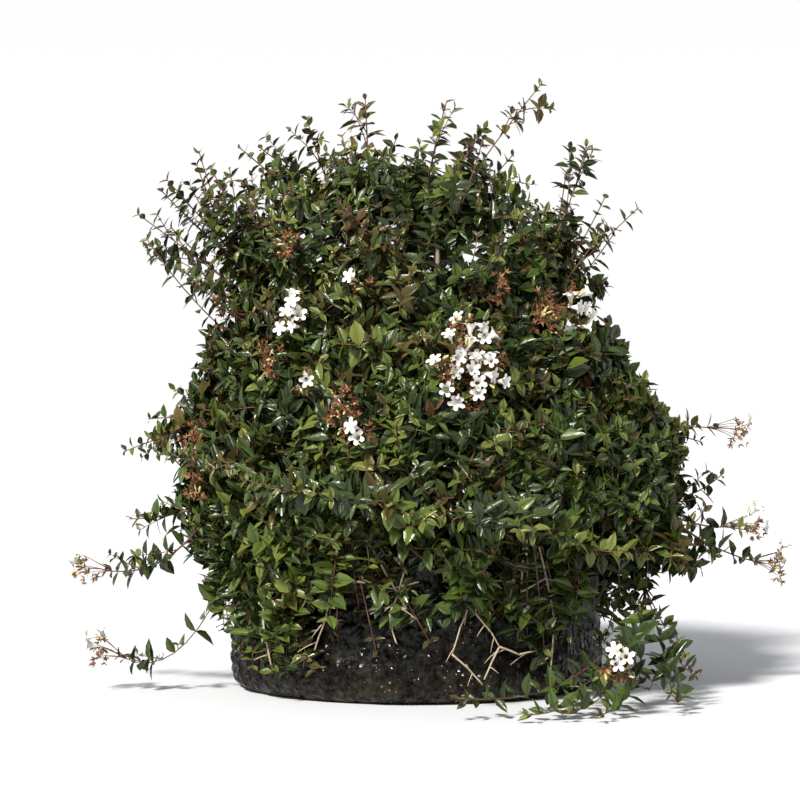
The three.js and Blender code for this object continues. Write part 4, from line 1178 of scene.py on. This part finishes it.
young_bark = twig_finish("red_brown_twig", (0.125, 0.048, 0.027), 0.5)
old_bark = twig_finish("pale_old_wood", (0.38, 0.29, 0.2), 0.75)
for name, old, finish in (("twigs", False, young_bark), ("old_wood", True, old_bark)):
    chosen = [limb for mass in masses for limb in mass["limbs"] if limb["old"] is old]
    piece = new_piece(name, tube_mesh(name, chosen), [finish])
    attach(piece, "root")


# A flower one unit long widens from its foot through rings of (radius, height, lobe), and a bud is a
# slender drop of the same length, thickest near its tip.
COROLLA_FOOT, COROLLA_SIDES, LOBE_ROUNDING = 0.05, 20, 0.7
COROLLA_RINGS = [(0.09, 0.3, 0), (0.18, 0.6, 0), (0.27, 0.82, 0.04), (0.24, 0.88, 0.3)]


def corolla_shape():
    shape = bmesh.new()
    ring = bmesh.ops.create_circle(shape, segments=COROLLA_SIDES, radius=COROLLA_FOOT)["verts"]
    for radius, height, lobe in COROLLA_RINGS:
        edges = list({edge for point in ring for edge in point.link_edges if edge.other_vert(point) in ring})
        grown = bmesh.ops.extrude_edge_only(shape, edges=edges)
        ring = [part for part in grown["geom"] if isinstance(part, bmesh.types.BMVert)]
        for point in ring:
            turn = math.atan2(point.co.y, point.co.x)
            far = radius + lobe * abs(math.cos(LOBES / 2 * turn)) ** LOBE_ROUNDING
            point.co = Vector((far * math.cos(turn), far * math.sin(turn), height))
    bmesh.ops.recalc_face_normals(shape, faces=shape.faces[:])
    return shape


def bud_shape():
    shape = bmesh.new()
    bmesh.ops.create_uvsphere(shape, u_segments=6, v_segments=5, radius=1)
    bmesh.ops.scale(shape, vec=(0.13, 0.13, 0.5), verts=shape.verts[:])
    bmesh.ops.translate(shape, vec=(0, 0, 0.5), verts=shape.verts[:])
    for point in shape.verts:
        point.co.x *= 0.5 + point.co.z
        point.co.y *= 0.5 + point.co.z
    return shape


def copies_mesh(name, shape, places):
    shape.verts.index_update()
    corners = np.array([tuple(point.co) for point in shape.verts])
    faces = [[point.index for point in face.verts] for face in shape.faces]
    shape.free()
    points, polygons = [], []
    for at, along, size, turn in places:
        pose = (along.to_track_quat("Z", "Y").to_matrix() @ Matrix.Rotation(turn, 3, "Z")) * (size * MM)
        base = len(points) * len(corners)
        points.append(corners @ np.array(pose).T + np.array(at) * MM)
        polygons.extend([[corner + base for corner in face] for face in faces])
    mesh = bpy.data.meshes.new(name)
    mesh.from_pydata(np.concatenate(points).tolist(), [], polygons)
    mesh.update()
    return mesh


petal, shader = new_finish("white_petal", (0.72, 0.71, 0.67), 0.6)
shader.inputs["Sheen Weight"].default_value = 0.2
folds = noise_on(petal, place_on(petal), 500, 2)
put(petal, bumped(petal, folds, 0.4, 0.0005), shader.inputs["Normal"])
bud_skin = twig_finish("cream_bud", (0.5, 0.43, 0.19), 0.5)
copper = leaf_finish("copper_sepal", (0.2, 0.07, 0.024), 0.6)
pink_copper = leaf_finish("pink_sepal", (0.36, 0.2, 0.09), 0.6)
for name, mesh, finishes in (
    ("flowers", copies_mesh("flowers", corolla_shape(), flowers), [petal]),
    ("buds", copies_mesh("buds", bud_shape(), buds), [bud_skin]),
    ("sepals", blade_mesh("sepals", sepals), [copper, pink_copper]),
):
    piece = new_piece(name, mesh, finishes)
    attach(piece, "root")


# The studio is a plain pale floor under an even white sky, with one soft lamp high on the left in front.
floor_shape = bmesh.new()
bmesh.ops.create_circle(floor_shape, segments=96, radius=40, cap_ends=True)
pale, shader = new_finish("pale_floor", (0.61, 0.628, 0.675), 0.9)
plaster = noise_on(pale, place_on(pale), 30, 4)
put(pale, bumped(pale, plaster, 0.1, 0.001), shader.inputs["Normal"])
floor = new_mesh("floor", floor_shape, [pale], smooth=False)
floor.location.z = -0.0005

lamp_data = bpy.data.lights.new("soft_lamp", "SUN")
lamp_data.energy = 6.4
lamp_data.angle = math.radians(9)
lamp_data.color = (1.0, 0.96, 0.88)
lamp = bpy.data.objects.new("soft_lamp", lamp_data)
lamp.rotation_euler = Vector((0.52, 0.86, -0.84)).to_track_quat("-Z", "Y").to_euler()
bpy.context.scene.collection.objects.link(lamp)

sky = bpy.data.worlds.new("white_sky")
sky.use_nodes = True
outward = add_node(sky, "ShaderNodeTexCoord").outputs["Generated"]
upward = add_node(sky, "ShaderNodeSeparateXYZ", Vector=outward).outputs["Z"]
background = sky.node_tree.nodes["Background"]
background.inputs["Color"].default_value = (1, 1, 1, 1)
put(sky, ranged(sky, upward, 0.12, 0.6, 1.0, 0.46), background.inputs["Strength"])
bpy.context.scene.world = sky
bpy.context.scene.view_settings.view_transform = "Standard"
